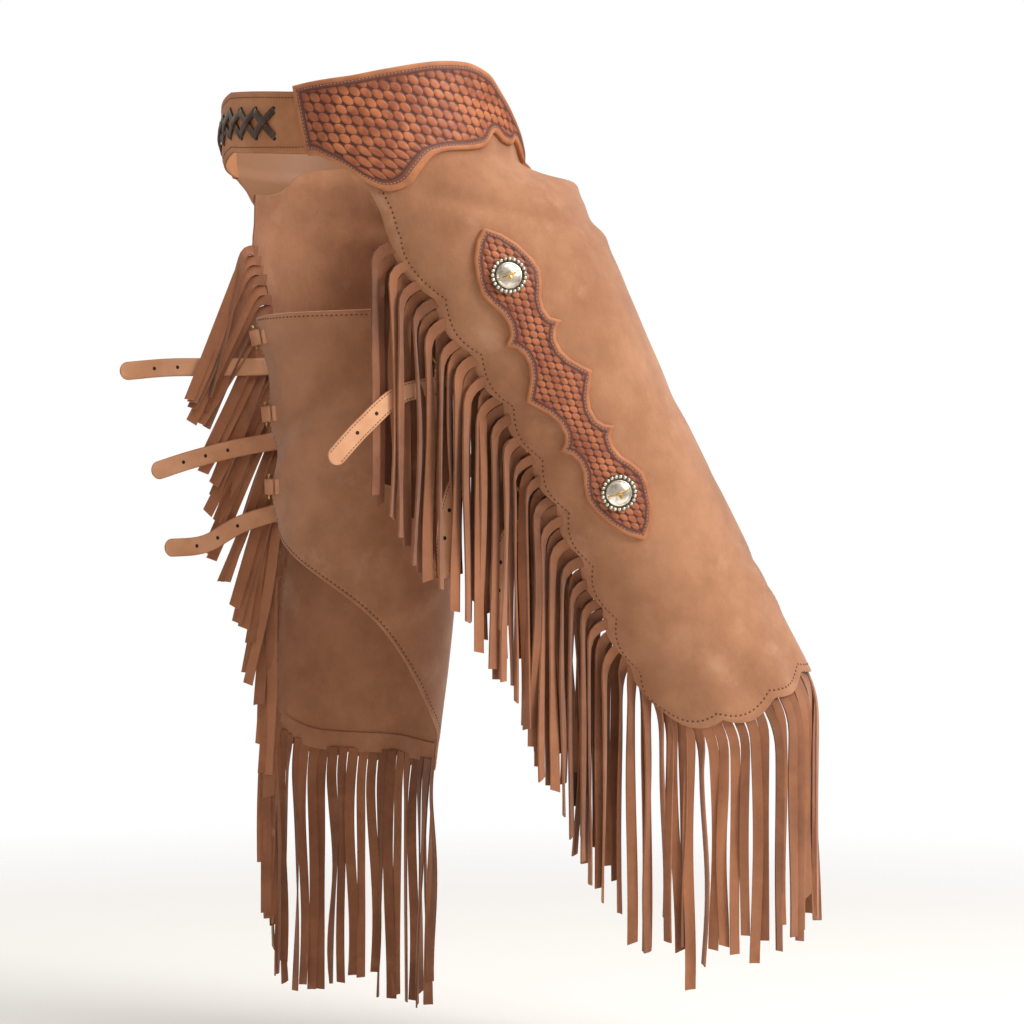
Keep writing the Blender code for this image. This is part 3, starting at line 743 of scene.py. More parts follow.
def shell_faces(top, bottom):
    """Faces of the closed piece between two grids of points, turned outwards."""
    rows, columns = top.shape[:2]
    count = rows * columns
    index = np.arange(count).reshape(rows, columns)
    face = np.stack([index[:-1, :-1], index[:-1, 1:], index[1:, 1:], index[1:, :-1]], -1).reshape(-1, 4)
    rim = rim_of(index)
    ahead = np.roll(rim, -1)
    wall = np.stack([ahead, rim, rim + count, ahead + count], -1)
    faces = np.concatenate([face, face[:, ::-1] + count, wall])
    row, column = rows // 2, columns // 2
    across = top[row, column] - top[row, column - 1]
    along = top[row, column] - top[row - 1, column]
    outward = np.dot(np.cross(across, along), (top - bottom)[row, column]) >= 0
    return faces if outward else faces[:, ::-1]


def leather_piece(name, top, bottom, chart, material, slot, replaced=(), **marks):
    """Closed leather piece between two grids of points: its face and its flesh side."""
    both = {key: np.stack([values, values]) for key, values in marks.items()}
    plain = np.zeros(top.shape[:2])
    both["flesh"] = np.stack([plain, plain + 1])
    item = mesh_piece(
        name, np.stack([top, bottom]), shell_faces(top, bottom), np.stack([chart, chart]), **both
    )
    return finish_piece(item, material, replaced)


def evenly(line, pitch):
    """Places at an even pitch along a fine line, each counted in the line's points."""
    length = distances(line)
    stops = np.arange(pitch / 2, length[-1], pitch)
    return np.interp(stops, length, np.arange(len(line)))


def read(values, at):
    """Values of a list of vectors at fractional places."""
    steps = np.arange(len(values))
    return np.stack([np.interp(at, steps, values[:, axis]) for axis in range(values.shape[1])], -1)


def stitches(name, runs, pitch, length, width, height, material):
    """Row of short raised stitches along each run, a run being a line of points and its normals."""
    angles = np.linspace(0, 2 * pi, 6, endpoint=False)
    rings = np.array([
        [(share, size * cos(angle), size * sin(angle)) for angle in angles] for share, size in STITCH_RINGS
    ])
    shape = rings.reshape(-1, 3) * (length, width / 2, height)
    ring_count, section = rings.shape[:2]
    index = np.arange(ring_count * section).reshape(ring_count, section)
    beside = np.roll(index, -1, axis=1)
    sides = np.stack([index[:-1], beside[:-1], beside[1:], index[1:]], -1).reshape(-1, 4)
    ends = [index[0, [0, 1, 2, 3]], index[0, [0, 3, 4, 5]], index[-1, [3, 2, 1, 0]], index[-1, [5, 4, 3, 0]]]
    faces = np.concatenate([sides[:, ::-1], ends])
    placed = []
    for line, normal in runs:
        at = evenly(line, pitch)
        centre, up = read(line, at), unit(read(normal, at))
        along = unit(read(line, at + 0.5) - read(line, at - 0.5))
        across = np.cross(up, along)
        axes = np.stack([along, across, up], 1)
        placed.append(centre[:, None] + np.einsum("vk,skc->svc", shape, axes))
    vertices = np.concatenate(placed)
    all_faces = (faces[None] + np.arange(len(vertices))[:, None, None] * len(shape)).reshape(-1, 4)
    return finish_piece(mesh_piece(name, vertices, all_faces), material)


def outline_distance(u, v, outline):
    """Distance of each chart point from a closed outline of chart points."""
    start, end = outline, np.roll(outline, -1, axis=0)
    point = np.stack([u, v], -1).reshape(-1, 1, 2)
    nearest = np.full(len(point), np.inf)
    for a, b in zip(np.array_split(start, 12), np.array_split(end, 12)):
        run = b - a
        share = np.clip(((point - a) * run).sum(-1) / ((run**2).sum(-1) + 1e-12), 0, 1)
        gap = np.linalg.norm(point - a - share[..., None] * run, axis=-1)
        nearest = np.minimum(nearest, gap.min(axis=1))
    return nearest.reshape(u.shape)


def weave(u, v):
    """Height of the basket stamping from 0, sunk, to 1, raised."""
    along = (u * cos(WEAVE_SLANT) + v * sin(WEAVE_SLANT)) / WEAVE_LONG
    across = (v * cos(WEAVE_SLANT) - u * sin(WEAVE_SLANT)) / WEAVE_WIDE
    row = across - np.floor(across) - 0.5
    shifted = along + np.floor(across) * 0.5 + row * WEAVE_SKEW
    end = shifted - np.floor(shifted) - 0.5
    return 1 - smoothstep(4 * (end * end + row * row), 0.55, 1.15)


def stamp_chart(u, v, stamp):
    """Chart for the basket stamp: a chart in metres, made finer and turned."""
    fine, turned = stamp
    return fine * (u * cos(turned) + v * sin(turned)), fine * (v * cos(turned) - u * sin(turned))


def tooled_height(edge, u, v, rim):
    """Height of tooled leather over its back: round rim, sewn groove, border line and stamped field."""
    inward = edge / rim
    rounding = np.sqrt(np.clip(1 - (1 - np.clip(inward / 0.55, 0, 1)) ** 2, 0, 1))
    groove = bell(inward, SEWN_SHARE, 0.12) * TOOLED_LINE_DEPTH
    line = bell(inward, 1.22, 0.12) * TOOLED_LINE_DEPTH
    field = smoothstep(inward, *FIELD_SHARE)
    sunk = field * (1 - weave(u, v)) * WEAVE_DEPTH + field * 0.0002
    return YOKE_THICK * (0.30 + 0.70 * rounding) + 0.0007 - groove - line - sunk


# ---------------------------------------------------------------- leg panels
def panel_chart(side, across, length):
    """Down and turn of the leg panel at shares across (outer edge to flap) and along its length."""
    top_turn = OUTER_EDGE[0][1] + across * (FLAP_EDGE_TURN - OUTER_EDGE[0][1])
    bottom_turn = OUTER_EDGE[-1][1] + across * (FLAP_EDGE_TURN - OUTER_EDGE[-1][1])
    top = through(TOP_EDGE, top_turn)[..., 0]
    bottom = through(BOTTOM_EDGE, bottom_turn)[..., 0]
    fade = scallop_share((1 - length) * (bottom - top)) * (bottom_turn < HEM_CORNER_TURN)
    bottom = bottom + fade * scallop(np.radians(bottom_turn - OUTER_EDGE[-1][1]) * LOWER_LEG_RADIUS)
    down = top + length * (bottom - top)
    edge_down = OUTER_EDGE[0][0] + length * (OUTER_EDGE[-1][0] - OUTER_EDGE[0][0])
    outer = through(OUTER_EDGE, edge_down)[..., 0]
    rise = np.where(edge_down > SCALLOP_TOP, scallop(edge_down - SCALLOP_TOP), 0.0)
    fade = scallop_share(across * PANEL_ARC)
    turn = outer + across * (FLAP_EDGE_TURN - outer)
    return down, turn - degrees_for(side, edge_down, rise * fade)


def stations(total, near, pitch):
    """Shares of a length with close rows at both ends and an even pitch between."""
    near = np.array(near)
    count = int((total - 2 * near[-1]) / pitch)
    inner = np.linspace(near[-1], total - near[-1], count)[1:-1]
    return np.concatenate([near, inner, total - near[::-1]]) / total


def panel_ripple(side, down, turn):
    """Slow waves of the free edges, which the strands and their weight pull in and out."""
    behind = bell(turn, FLAP_EDGE_TURN, 30)
    outer = bell(turn, -55, 14)
    low = smoothstep(down, 0.60, 0.72) * (turn < HEM_CORNER_TURN + 10)
    return (
        0.0032 * behind * np.sin(down * 74 + side)
        + 0.0016 * outer * np.sin(2 * pi * down / SCALLOP_PITCH + 1.2 * side)
        + 0.0022 * low * np.sin(np.radians(turn) * 9.5 + side)
    )


def panel_points(side, across, length, lift):
    """Points, outward directions, down and turn at shares of the panel, with its ripple."""
    down, turn = panel_chart(side, across, length)
    points, outward = on_form(side, down, turn, lift + panel_ripple(side, down, turn))
    return points, outward, down, turn


def leg_chart(down, turn):
    """Metres round and down the leg, as a chart for the leather's grain."""
    return np.stack([np.radians(turn) * CHART_RADIUS, down], -1)


def leg_panel(side):
    """Suede leg cover with a scalloped outer edge and hem, and a plain inner flap."""
    across = stations(PANEL_ARC, PANEL_EDGES, PANEL_STEP)[None, :]
    length = stations(PANEL_LENGTH, PANEL_EDGES, PANEL_STEP)[:, None]
    from_side = np.minimum(across, 1 - across) * PANEL_ARC
    from_end = np.minimum(length, 1 - length) * PANEL_LENGTH
    inward = np.minimum(from_side, from_end)
    lift = PANEL_THICK - bell(inward, SEAM_INSET, 0.0016) * 0.0006 - bell(inward, 0, 0.0012) * 0.0007
    top, _, down, turn = panel_points(side, across, length, lift)
    bottom = panel_points(side, across, length, 0.0)[0]
    name = SIDE_NAME[side]
    return leather_piece(
        f"suede_panel_{name}", top, bottom, leg_chart(down, turn), "suede", "suede",
        [f"leg_panel_{name}"], edge=inward / EDGE_MARK,
    )


def panel_stitches(side):
    """Sewn holes that follow the panel's edges a little way in."""
    fine = np.linspace(0, 1, 600)
    in_across, in_length = SEAM_INSET / PANEL_ARC, SEAM_INSET / PANEL_LENGTH
    lengthwise = fine * (1 - 2 * in_length) + in_length
    lines = (
        (in_across, lengthwise),
        (fine * 0.484 + in_across, 1 - in_length),
        (fine * 0.50 + 0.484, 1 - in_length),
        (1 - in_across, lengthwise),
        (fine * 0.52 + 0.46, in_length),
    )
    runs = [
        panel_points(side, *np.broadcast_arrays(*line), PANEL_THICK - 0.00045)[:2] for line in lines
    ]
    name = f"panel_stitches_{SIDE_NAME[side]}"
    stitches(name, runs, 0.0052, 0.0023, 0.0021, 0.00055, "dark thread")


# ---------------------------------------------------------------- tooled pieces
def band(rows, turns, share):
    """Grid of down and turn between the top and bottom edges of a table like YOKE."""
    edges = through(rows, turns)
    down = edges[:, 0] + share[:, None] * (edges[:, 1] - edges[:, 0])
    return down, np.broadcast_to(turns, down.shape)


def tooled_piece(name, u, v, raise_at, rim, stamp, replaced):
    """Tooled leather over a chart grid; raise_at gives its points at a lift."""
    edge = outline_distance(u, v, rim_of(np.stack([u, v], -1)))
    stamp_u, stamp_v = stamp_chart(u, v, stamp)
    top = raise_at(TRIM_LIFT + tooled_height(edge, stamp_u, stamp_v, rim))
    bottom = raise_at(np.full_like(u, PANEL_THICK + CLEARANCE))
    chart = np.stack([stamp_u, stamp_v], -1)
    return leather_piece(name, top, bottom, chart, "tooled", "tooled_leather", replaced, edge=edge / rim)


def yoke_slant(turn, share):
    """Degrees that the yoke's rear end leans forward towards its lower corner."""
    return YOKE_END_SLANT * share * np.clip((YOKE_SLANT_TURN - turn) / (YOKE_SLANT_TURN - YOKE[0][0]), 0, 1)


def yoke(side):
    """Tooled hip piece over the top of the leg panel and the end of the back belt."""
    name = SIDE_NAME[side]
    share = np.concatenate([[0, 0.004], np.linspace(0.012, 0.988, 74), [0.996, 1]])
    down, turn = band(YOKE, np.linspace(YOKE[0][0], YOKE[-1][0], 330), share)
    turn = turn + yoke_slant(turn, share[:, None])
    u, v = np.radians(turn) * HIP_RADIUS, down
    yoke_piece = tooled_piece(
        f"tooled_yoke_{name}", u, v, lambda lift: on_form(side, down, turn, lift)[0],
        YOKE_RIM, YOKE_STAMP, [f"yoke_{name}"],
    )

    def sewn(u, v):
        return on_form(side, v, np.degrees(u / HIP_RADIUS), TRIM_TOP + STITCH_RISE)

    runs = [seam_run(line, YOKE_RIM * SEWN_SHARE, sewn) for line in border_lines(u, v)]
    sew_tooled(f"yoke_stitches_{name}", runs, 0.0015)
    return yoke_piece


def sew_tooled(name, runs, width):
    stitches(name, runs, STITCH_PITCH, STITCH_LONG, width, 0.0006, "pale thread")


def border_lines(u, v):
    """The four edges of a chart grid in turn, each with the whole outline."""
    both = np.stack([u, v], -1)
    edges = (both[0], both[:, -1], both[-1, ::-1], both[::-1, 0])
    return [(edge, rim_of(both)) for edge in edges]


def seam_run(border, inset, place):
    """Points and normals of a seam an inset in from one edge, with the leather on its left."""
    line, whole = border
    fine = np.arange(0, len(line) - 1, 0.25)
    line = read(line, fine)
    tangent = unit(np.gradient(line, axis=0))
    moved = line + np.stack([-tangent[:, 1], tangent[:, 0]], -1) * inset
    gap = outline_distance(moved[:, 0], moved[:, 1], whole)
    moved = moved[gap > inset * 0.95]
    return place(moved[:, 0], moved[:, 1])


def overlay_place(side, along, across, lift=0.0):
    """Point of the tooled strip at a distance along it and across from its middle line."""
    line = through(OVERLAY_LINE, along)
    down, turn = line[..., 0], line[..., 1]
    return on_form(side, down, turn + degrees_for(side, down, across), lift)


def overlay_width(along):
    """Half width of the tooled strip: straight runs with soft spurs."""
    half = np.array(OVERLAY_HALF)
    near_end = np.minimum(along, OVERLAY_LENGTH - along)
    return np.interp(near_end, half[:, 0], half[:, 1])


def overlay(side):
    """Tooled strip with two leaf ends and spurs between, on the outer side of the thigh."""
    name = SIDE_NAME[side]
    tips = np.array([0, 0.0008, 0.002])
    body = np.linspace(0.0032, OVERLAY_LENGTH - 0.0032, 290)
    along = np.concatenate([tips, body, OVERLAY_LENGTH - tips[::-1]])
    share = np.concatenate([[-1, -0.985], np.linspace(-0.95, 0.95, 46), [0.985, 1]])
    across = share[:, None] * overlay_width(along)
    along = np.broadcast_to(along, across.shape)
    strip_piece = tooled_piece(
        f"tooled_strip_{name}", across, along, lambda lift: overlay_place(side, along, across, lift)[0],
        OVERLAY_RIM, STRIP_STAMP, [f"overlay_{name}"],
    )

    def sewn(u, v):
        return overlay_place(side, v, u, TRIM_TOP + STITCH_RISE)

    long_edges = border_lines(across, along)[::2]
    runs = [seam_run((edge[::-1], whole), OVERLAY_RIM * SEWN_SHARE, sewn) for edge, whole in long_edges]
    sew_tooled(f"strip_stitches_{name}", runs, 0.0014)
    return strip_piece


# ---------------------------------------------------------------- back belt and lacing
def mirrored(near, far):
    """One grid from those of both halves, joined at the middle of the back."""
    return np.concatenate([near[:, :0:-1], far], axis=1)


def across_back(down, turn, lift):
    """Points of both mirrored halves, joined at the middle of the back."""
    return mirrored(on_form(RIGHT, down, turn, lift)[0], on_form(LEFT, down, turn, lift)[0])


def back_belt():
    """Smooth belt round the back of the waist, its ends under both yokes."""
    near = np.array([0, 0.02, 0.06, 0.09, 0.12, 0.16, 0.25, 0.4])
    share = np.concatenate([near, [0.5, 0.6, 0.75, 0.84, 0.88, 0.91, 0.94, 0.98, 1]])
    down, turn = band(BACK_BELT, np.linspace(-90, BELT_END_TURN, 60), share)
    inward = np.minimum(share, 1 - share)[:, None] * BELT_WIDTH + 0 * down
    seam = bell(inward, BELT_SEAM_INSET, 0.0014) * 0.0005
    lift = BELT_LIFT + BELT_THICK - seam - bell(inward, 0, 0.001) * 0.0006
    u = np.radians(turn + 90) * HIP_RADIUS
    belt = leather_piece(
        "belt_across_back", across_back(down, turn, lift), across_back(down, turn, BELT_LIFT),
        np.stack([mirrored(-u, u), mirrored(down, down)], -1), "belt", "strap_leather", ["back_belt"],
        edge=mirrored(inward, inward) / STRAP_EDGE_MARK,
    )
    turns = np.linspace(-90, -46, 300)
    top, bottom = through(BACK_BELT, turns).T
    runs = [
        on_form(side, down, turns, BELT_LIFT + BELT_THICK - 0.0003)
        for side in (RIGHT, LEFT)
        for down in (top + BELT_SEAM_INSET, bottom - BELT_SEAM_INSET)
    ]
    stitches("belt_stitches", runs, 0.0040, 0.0028, 0.0011, 0.0005, "dark thread")
    return belt


def ribbon(centre, outward, width, thickness):
    """Vertices of a flat lace along a line: five across, on both faces."""
    along = unit(np.gradient(centre, axis=0))
    across = unit(np.cross(along, outward))
    face = unit(np.cross(across, along))
    share = np.linspace(-1, 1, 5)[:, None, None]
    crown = (1 - share**2) * thickness * 0.25
    top = centre + share * across * width / 2 + face * (thickness / 2 + crown)
    bottom = centre + share * across * width / 2 - face * thickness / 2
    return top, bottom


def lace_piece(name, strips, replaced):
    """Joined laces, each a line of points and its outward directions."""
    vertices, faces, count = [], [], 0
    for centre, outward in strips:
        top, bottom = ribbon(centre, outward, LACE_WIDTH, LACE_THICK)
        faces.append(shell_faces(top, bottom) + count)
        vertices.append(np.stack([top, bottom]).reshape(-1, 3))
        count += len(vertices[-1])
    finish_piece(mesh_piece(name, np.concatenate(vertices), np.concatenate(faces)), "lace", replaced)


def across_middle(from_middle, way, down, lift):
    """Points and outward directions across the front (way 1) or back (way -1) middle of the waist.

    from_middle is in degrees, and below zero it is on the wearer's right.
    """
    turn = way * (90 - np.abs(from_middle))
    right, left = (on_form(side, down, turn, lift) for side in (RIGHT, LEFT))
    beyond = (from_middle < 0)[:, None]
    return [np.where(beyond, near, far) for near, far in zip(right, left)]


def belt_middle(from_middle):
    """Down of the belt's middle line, at degrees from the middle of the back."""
    return through(BACK_BELT, np.minimum(np.abs(from_middle) - 90, BELT_END_TURN)).mean(axis=-1) + 0.001


def dive(t, depth):
    """How far a lace goes down at its two ends, where it passes through the leather."""
    return depth * (bell(t, 0, 0.05) + bell(t, 1, 0.05))


def back_lace():
    """Flat lace crossed through punched holes over the middle of the back belt."""
    strips = []
    t = np.linspace(0, 1, 24)
    base = BELT_LIFT + BELT_THICK + LACE_THICK / 2
    for cross in range(LACE_CROSSES):
        middle = (cross - (LACE_CROSSES - 1) / 2) * LACE_STEP
        for over, lean in ((0, -1), (1, 1)):
            turn = middle + lean * (t - 0.5) * (LACE_STEP + 1.6)
            down = belt_middle(turn) + (t - 0.5) * 2 * LACE_HALF_HEIGHT
            hump = np.sin(pi * t) ** 0.6 * 0.0010 + over * 0.0017 * bell(t, 0.5, 0.22)
            strips.append(across_middle(turn, -1, down, base + hump - dive(t, 0.0030)))
    lace_piece("crossed_back_lace", strips, ["back_lace"])
    runs = []
    for end in np.linspace(-LACE_CROSSES / 2, LACE_CROSSES / 2, LACE_CROSSES + 1) * LACE_STEP:
        turn = end + np.linspace(-1.6, 1.6, 5)
        for reach in (-LACE_HALF_HEIGHT - 0.001, LACE_HALF_HEIGHT + 0.001):
            runs.append(across_middle(turn, -1, belt_middle(turn) + reach, BELT_LIFT + BELT_THICK))
    # Near-black discs at the lace holes, painted shade for the dark inside each hole.
    stitches("lace_holes", runs, 0.0080, 0.0058, 0.0040, 0.0003, "hole")


def front_lace():
    """Tie through the front ends of the two yokes, crossed once."""
    t = np.linspace(0, 1, 24)
    strips = []
    for over, lean in ((0, -1), (1, 1)):
        from_middle = lean * (t - 0.5) * 26
        down = 0.0935 + (t - 0.5) * 0.011
        lift = TRIM_TOP + LACE_THICK / 2 + 0.0006 + over * 0.0014 * bell(t, 0.5, 0.2)
        strips.append(across_middle(from_middle, 1, down, lift - dive(t, 0.0035)))
    lace_piece("front_tie", strips, ["front_lace"])


# ---------------------------------------------------------------- fringe
def strand_mesh(name, seed, start, length, bend, spin, replaced, loose=0.45, broad=1.0, painted_shade=0.0):
    """Hanging strips cut from one edge: each leaves its root, bends over and hangs.

    start holds, for each strip, its root, the way it leaves, the edge it is cut from, the way it
    hangs and the way its width settles. bend and spin are the lengths over which it turns.
    The strips' shade mark is a random tone less an offset of painted shade: above zero it paints
    shade on the strips, below zero it paints light on them.
    """
    root, leave, edge, hang, settle = start
    rng = np.random.default_rng(seed)
    count = len(root)
    one = (count, 1)
    share = np.linspace(0, 1, STRAND_RINGS) ** 1.6
    run = share[None, :] * length[:, None]
    fall = smoothstep((run - 0.005) / bend[:, None])
    sway = rng.uniform(-1, 1, (count, 2)) * 0.070
    wave = np.sin(2 * pi * (share[None, :] * rng.uniform(0.6, 1.3, one) + rng.uniform(0, 1, one)))
    drift = np.concatenate([sway[:, None, :] * wave[..., None], np.zeros((count, STRAND_RINGS, 1))], -1)
    hanging = np.broadcast_to(hang, root.shape)[:, None] + drift
    heading = unit((1 - fall)[..., None] * leave[:, None] + fall[..., None] * hanging)
    step = np.diff(run, axis=1)[..., None]
    middle = (heading[:, 1:] + heading[:, :-1]) / 2
    line = np.concatenate([root[:, None], root[:, None] + np.cumsum(middle * step, axis=1)], axis=1)
    turned = smoothstep(run / spin[:, None])[..., None]
    width = (1 - turned) * edge[:, None] + turned * settle[:, None]
    width = unit(width - (width * heading).sum(-1, keepdims=True) * heading)
    twist = rng.normal(0, loose, one) * share[None, :] + rng.normal(0, 0.10, one) * np.sin(share * 9)[None, :]
    side = np.cross(heading, width)
    width, side = (
        width * np.cos(twist)[..., None] + side * np.sin(twist)[..., None],
        side * np.cos(twist)[..., None] - width * np.sin(twist)[..., None],
    )
    half = broad * STRAND_WIDTH * rng.uniform(0.86, 1.06, one)[..., None] / 2
    curl = (rng.normal(0, 0.0007, one) * smoothstep(share, 0.05, 0.4))[..., None]
    thick = STRAND_THICK / 2
    skew = np.zeros((count, STRAND_RINGS, 1))
    skew[:, -1, 0] = rng.normal(0, 0.0010, count)
    corners = np.stack([
        line - width * half + side * thick - heading * skew,
        line + side * (thick + curl),
        line + width * half + side * thick + heading * skew,
        line + width * half - side * thick + heading * skew,
        line - side * (thick - curl),
        line - width * half - side * thick - heading * skew,
    ], axis=2)
    index = np.arange(STRAND_RINGS * 6).reshape(STRAND_RINGS, 6)
    beside = np.roll(index, -1, axis=1)
    sides = np.stack([index[:-1], index[1:], beside[1:], beside[:-1]], -1).reshape(-1, 4)
    caps = [index[0, [0, 1, 4, 5]], index[0, [1, 2, 3, 4]], index[-1, [5, 4, 1, 0]], index[-1, [4, 3, 2, 1]]]
    faces = np.concatenate([sides, caps])
    all_faces = (faces[None] + np.arange(count)[:, None, None] * STRAND_RINGS * 6).reshape(-1, 4)
    # Random tone for each strip, shifted by painted shade (offset above zero) or painted light (offset below
    # zero).
    shade = rng.uniform(0, 1, count) - painted_shade
    shade = np.broadcast_to(shade[:, None, None], (count, STRAND_RINGS, 6))
    item = mesh_piece(name, corners, all_faces, shade=shade)
    edit_all(item)
    close_outward()
    finish_piece(item, "fringe", replaced)


def outer_line(side, down, beyond):
    """Turn of the line that lies a length beyond the cusps of the outer edge at this height."""
    turn = through(OUTER_EDGE, np.minimum(down, OUTER_EDGE[-1][0]))[..., 0]
    return turn - degrees_for(side, down, beyond)


def side_fringe(side):
    """Strands under the scalloped outer edge, from below the hip to the hem."""
    name = SIDE_NAME[side]
    rng = np.random.default_rng(11 + side)
    fine = np.linspace(0.160, 0.646, 500)
    edge_line = on_form(side, fine, outer_line(side, fine, 0.0))[0]
    down = np.interp(evenly(edge_line, STRAND_PITCH), np.arange(500), fine)
    odd = np.arange(len(down)) % 2
    lift = -0.0015 - 0.0009 * odd
    root, outward = on_form(side, down, outer_line(side, down, -0.003), lift)
    ahead = on_form(side, down, outer_line(side, down, 0.004), lift)[0]
    later = on_form(side, down + 0.002, outer_line(side, down + 0.002, -0.003), lift)[0]
    beyond, edge = unit(ahead - root), unit(later - root)
    length = rng.normal(0, 0.009, len(down)) + through(SIDE_LENGTH[side], down)[:, 0]
    bend = through(SIDE_BEND[side], down)[:, 0] * rng.uniform(0.75, 1.3, len(down))
    blown = (through(SIDE_SWING[side], down)[:, 0] * rng.uniform(0.75, 1.15, len(down)))[:, None]
    forward, away = np.array((0.0, -1.0, 0.0)), np.array((float(side), 0.0, 0.0))
    rounding = smoothstep(down, 0.575, 0.650)[:, None]
    if side == RIGHT:
        near, far = rng.normal(-6, 18, len(down)), rng.normal(-46, 16, len(down))
        angle = np.where(odd, near, np.clip(far, -72, -12))
        swing = np.where(odd, 0.06, 0.40) + rng.uniform(-0.06, 0.10, len(down))
        spin, loose, broad, painted_shade = bend * 1.5, 0.50, 1.0, 0.0
    else:
        angle = 23 + rng.normal(0, 15, len(down))
        swing = rng.uniform(0.10, 0.25, len(down))
        # The offset below zero paints light on all the left side's strands.
        spin, loose, broad, painted_shade = bend * 1.1, 0.22, 1.16, -0.45
    angle = np.radians(angle)[:, None]
    settle = np.cos(angle) * forward + np.sin(angle) * away * (1 if side == RIGHT else -1)
    leave = unit(beyond + outward * swing[:, None] + rounding * edge * 2.2)
    hang = np.array((0, 0, -1.0)) - forward * blown - away * blown * 0.30
    strand_mesh(
        f"side_strands_{name}", 21 + side, (root, leave, edge, hang, settle), length, bend, spin,
        [f"side_fringe_{name}"], loose, broad, painted_shade,
    )
    # Sparse second layer hung behind the front strands, painted darker with an offset of painted shade
    # (0.35), so the gaps between the front strands show dark.
    if side == RIGHT:
        pick = slice(1, -2, 2)
        root, leave = root[pick] - outward[pick] * 0.004, unit(beyond[pick] - outward[pick] * 0.35)
        settle = np.broadcast_to(forward, root.shape)
        count = len(root)
        strand_mesh(
            f"side_under_strands_{name}", 61 + side, (root, leave, edge[pick], hang[pick], settle),
            length[pick] * rng.uniform(0.90, 0.98, count), bend[pick] * 0.9, bend[pick] * 1.5, (),
            loose=0.3, broad=1.05, painted_shade=0.35,
        )
    outer, inner = (outer_line(side, fine, reach) for reach in (0.001, -HEADING_DEPTH))
    heading_strip(f"side_heading_{name}", side, (fine, fine), (outer, inner))


def heading_strip(name, side, down, turn):
    """Uncut strip of the fringe leather sewn behind the panel: down and turn of its two edges."""
    share = np.linspace(0, 1, 5)[:, None]
    down, turn = (edge[0][::8] + share * (edge[1][::8] - edge[0][::8]) for edge in (down, turn))
    lift = panel_ripple(side, down, turn) - CLEARANCE
    top, bottom = (on_form(side, down, turn, lift - depth)[0] for depth in (0, STRAND_THICK))
    leather_piece(
        name, top, bottom, leg_chart(down, turn), "suede", "suede", edge=np.full(down.shape, 3.0)
    )


def hem_fringe(side):
    """Strands under the scalloped hem, from the outer corner round the front."""
    name = SIDE_NAME[side]
    rng = np.random.default_rng(31 + side)
    fine = np.linspace(-60, HEM_CORNER_TURN - 1, 500)
    hem = through(BOTTOM_EDGE, fine)[:, 0]
    hem_line = on_form(side, hem, fine)[0]
    turn = np.interp(evenly(hem_line, STRAND_PITCH), np.arange(500), fine)
    down = through(BOTTOM_EDGE, turn)[:, 0] - 0.003
    lift = -0.0015 - 0.0009 * (np.arange(len(turn)) % 2)
    root, outward = on_form(side, down, turn, lift)
    leave = unit(on_form(side, down + 0.004, turn, lift)[0] - root)
    edge = unit(on_form(side, down, turn + 1.0, lift)[0] - root)
    flat = outward * (1, 1, 0)
    angle = np.radians(rng.normal(0, 24, len(turn)))[:, None]
    round_leg = unit(np.cross(flat, np.array((0, 0, 1.0))))
    round_leg = round_leg * np.sign((round_leg * edge).sum(-1, keepdims=True))
    settle = np.cos(angle) * round_leg + np.sin(angle) * unit(flat)
    bend = rng.uniform(0.030, 0.060, len(turn))
    length = HEM_STRAND_LENGTH[side] + rng.normal(0, 0.012, len(turn))
    hang = np.array((0, 0, -1.0))
    strand_mesh(
        f"hem_strands_{name}", 41 + side, (root, leave, edge, hang, settle), length, bend, bend * 1.5,
        [f"hem_fringe_{name}"], loose=0.8,
    )
    heading_strip(f"hem_heading_{name}", side, (hem + 0.001, hem - HEADING_DEPTH), (fine, fine))


# ---------------------------------------------------------------- straps, buckles, conchos
def strap_piece(name, centre, facing, width, round_tip, replaced):
    """Flat strap along a line; returns its distances, its outward directions and its cross directions."""
    across = unit(np.cross(np.gradient(centre, axis=0), facing))
    half = np.full(len(centre), width / 2)
    length = distances(centre)
    left = length[-1] - length
    if round_tip:
        near = np.clip(left / (width / 2), 0.02, 1.0)
        half = half * np.sqrt(1 - (1 - near) ** 2)
    share = np.array([-1, -0.9, -0.7, -0.35, 0, 0.35, 0.7, 0.9, 1])[:, None]
    middle = centre + share[..., None] * (across * half[:, None])
    inward = np.minimum((1 - np.abs(share)) * half, left)
    face = unit(np.cross(across, np.gradient(centre, axis=0)))
    soft = (STRAP_THICK / 2 - bell(inward, 0, 0.0008) * 0.0005)[..., None]
    chart = np.stack(np.broadcast_arrays(share * half, length), -1)
    leather_piece(
        name, middle + face * soft, middle - face * soft, chart, "strap", "strap_leather", replaced,
        edge=inward / STRAP_EDGE_MARK,
    )
    return length, face, across


def billet_route(side, down, free):
    """Middle line of a billet and the way its face looks, from under the panel to its free tip."""
    sewn_lift = -(STRAP_THICK / 2 + FACET_CLEARANCE)
    reach = np.array([-0.014, 0.000, 0.016, 0.024, 0.034])
    lift = np.array([sewn_lift, sewn_lift, sewn_lift, 0.0000, 0.0060])
    turn = outer_line(side, np.full(5, down), reach)
    sewn, outward = on_form(side, np.full(5, down), turn, lift)
    hung = sewn[-1] + np.array(free) * (side, 1, 1)
    route = np.concatenate([sewn, hung])
    level = np.array((side, 0, 0))
    face = np.concatenate([outward[:-1], [outward[-1] + level, level, level, level]])
    length = distances(route)
    end = length[-1]
    tip = np.array([0.0080, 0.0065, 0.0050, 0.0036, 0.0024, 0.0014, 0.0006, 0.0])
    steps = np.concatenate([np.linspace(0, end - 0.0095, 34), end - tip])
    line = through(np.column_stack([length, route, face]), steps)
    return line[:, :3], line[:, 3:]


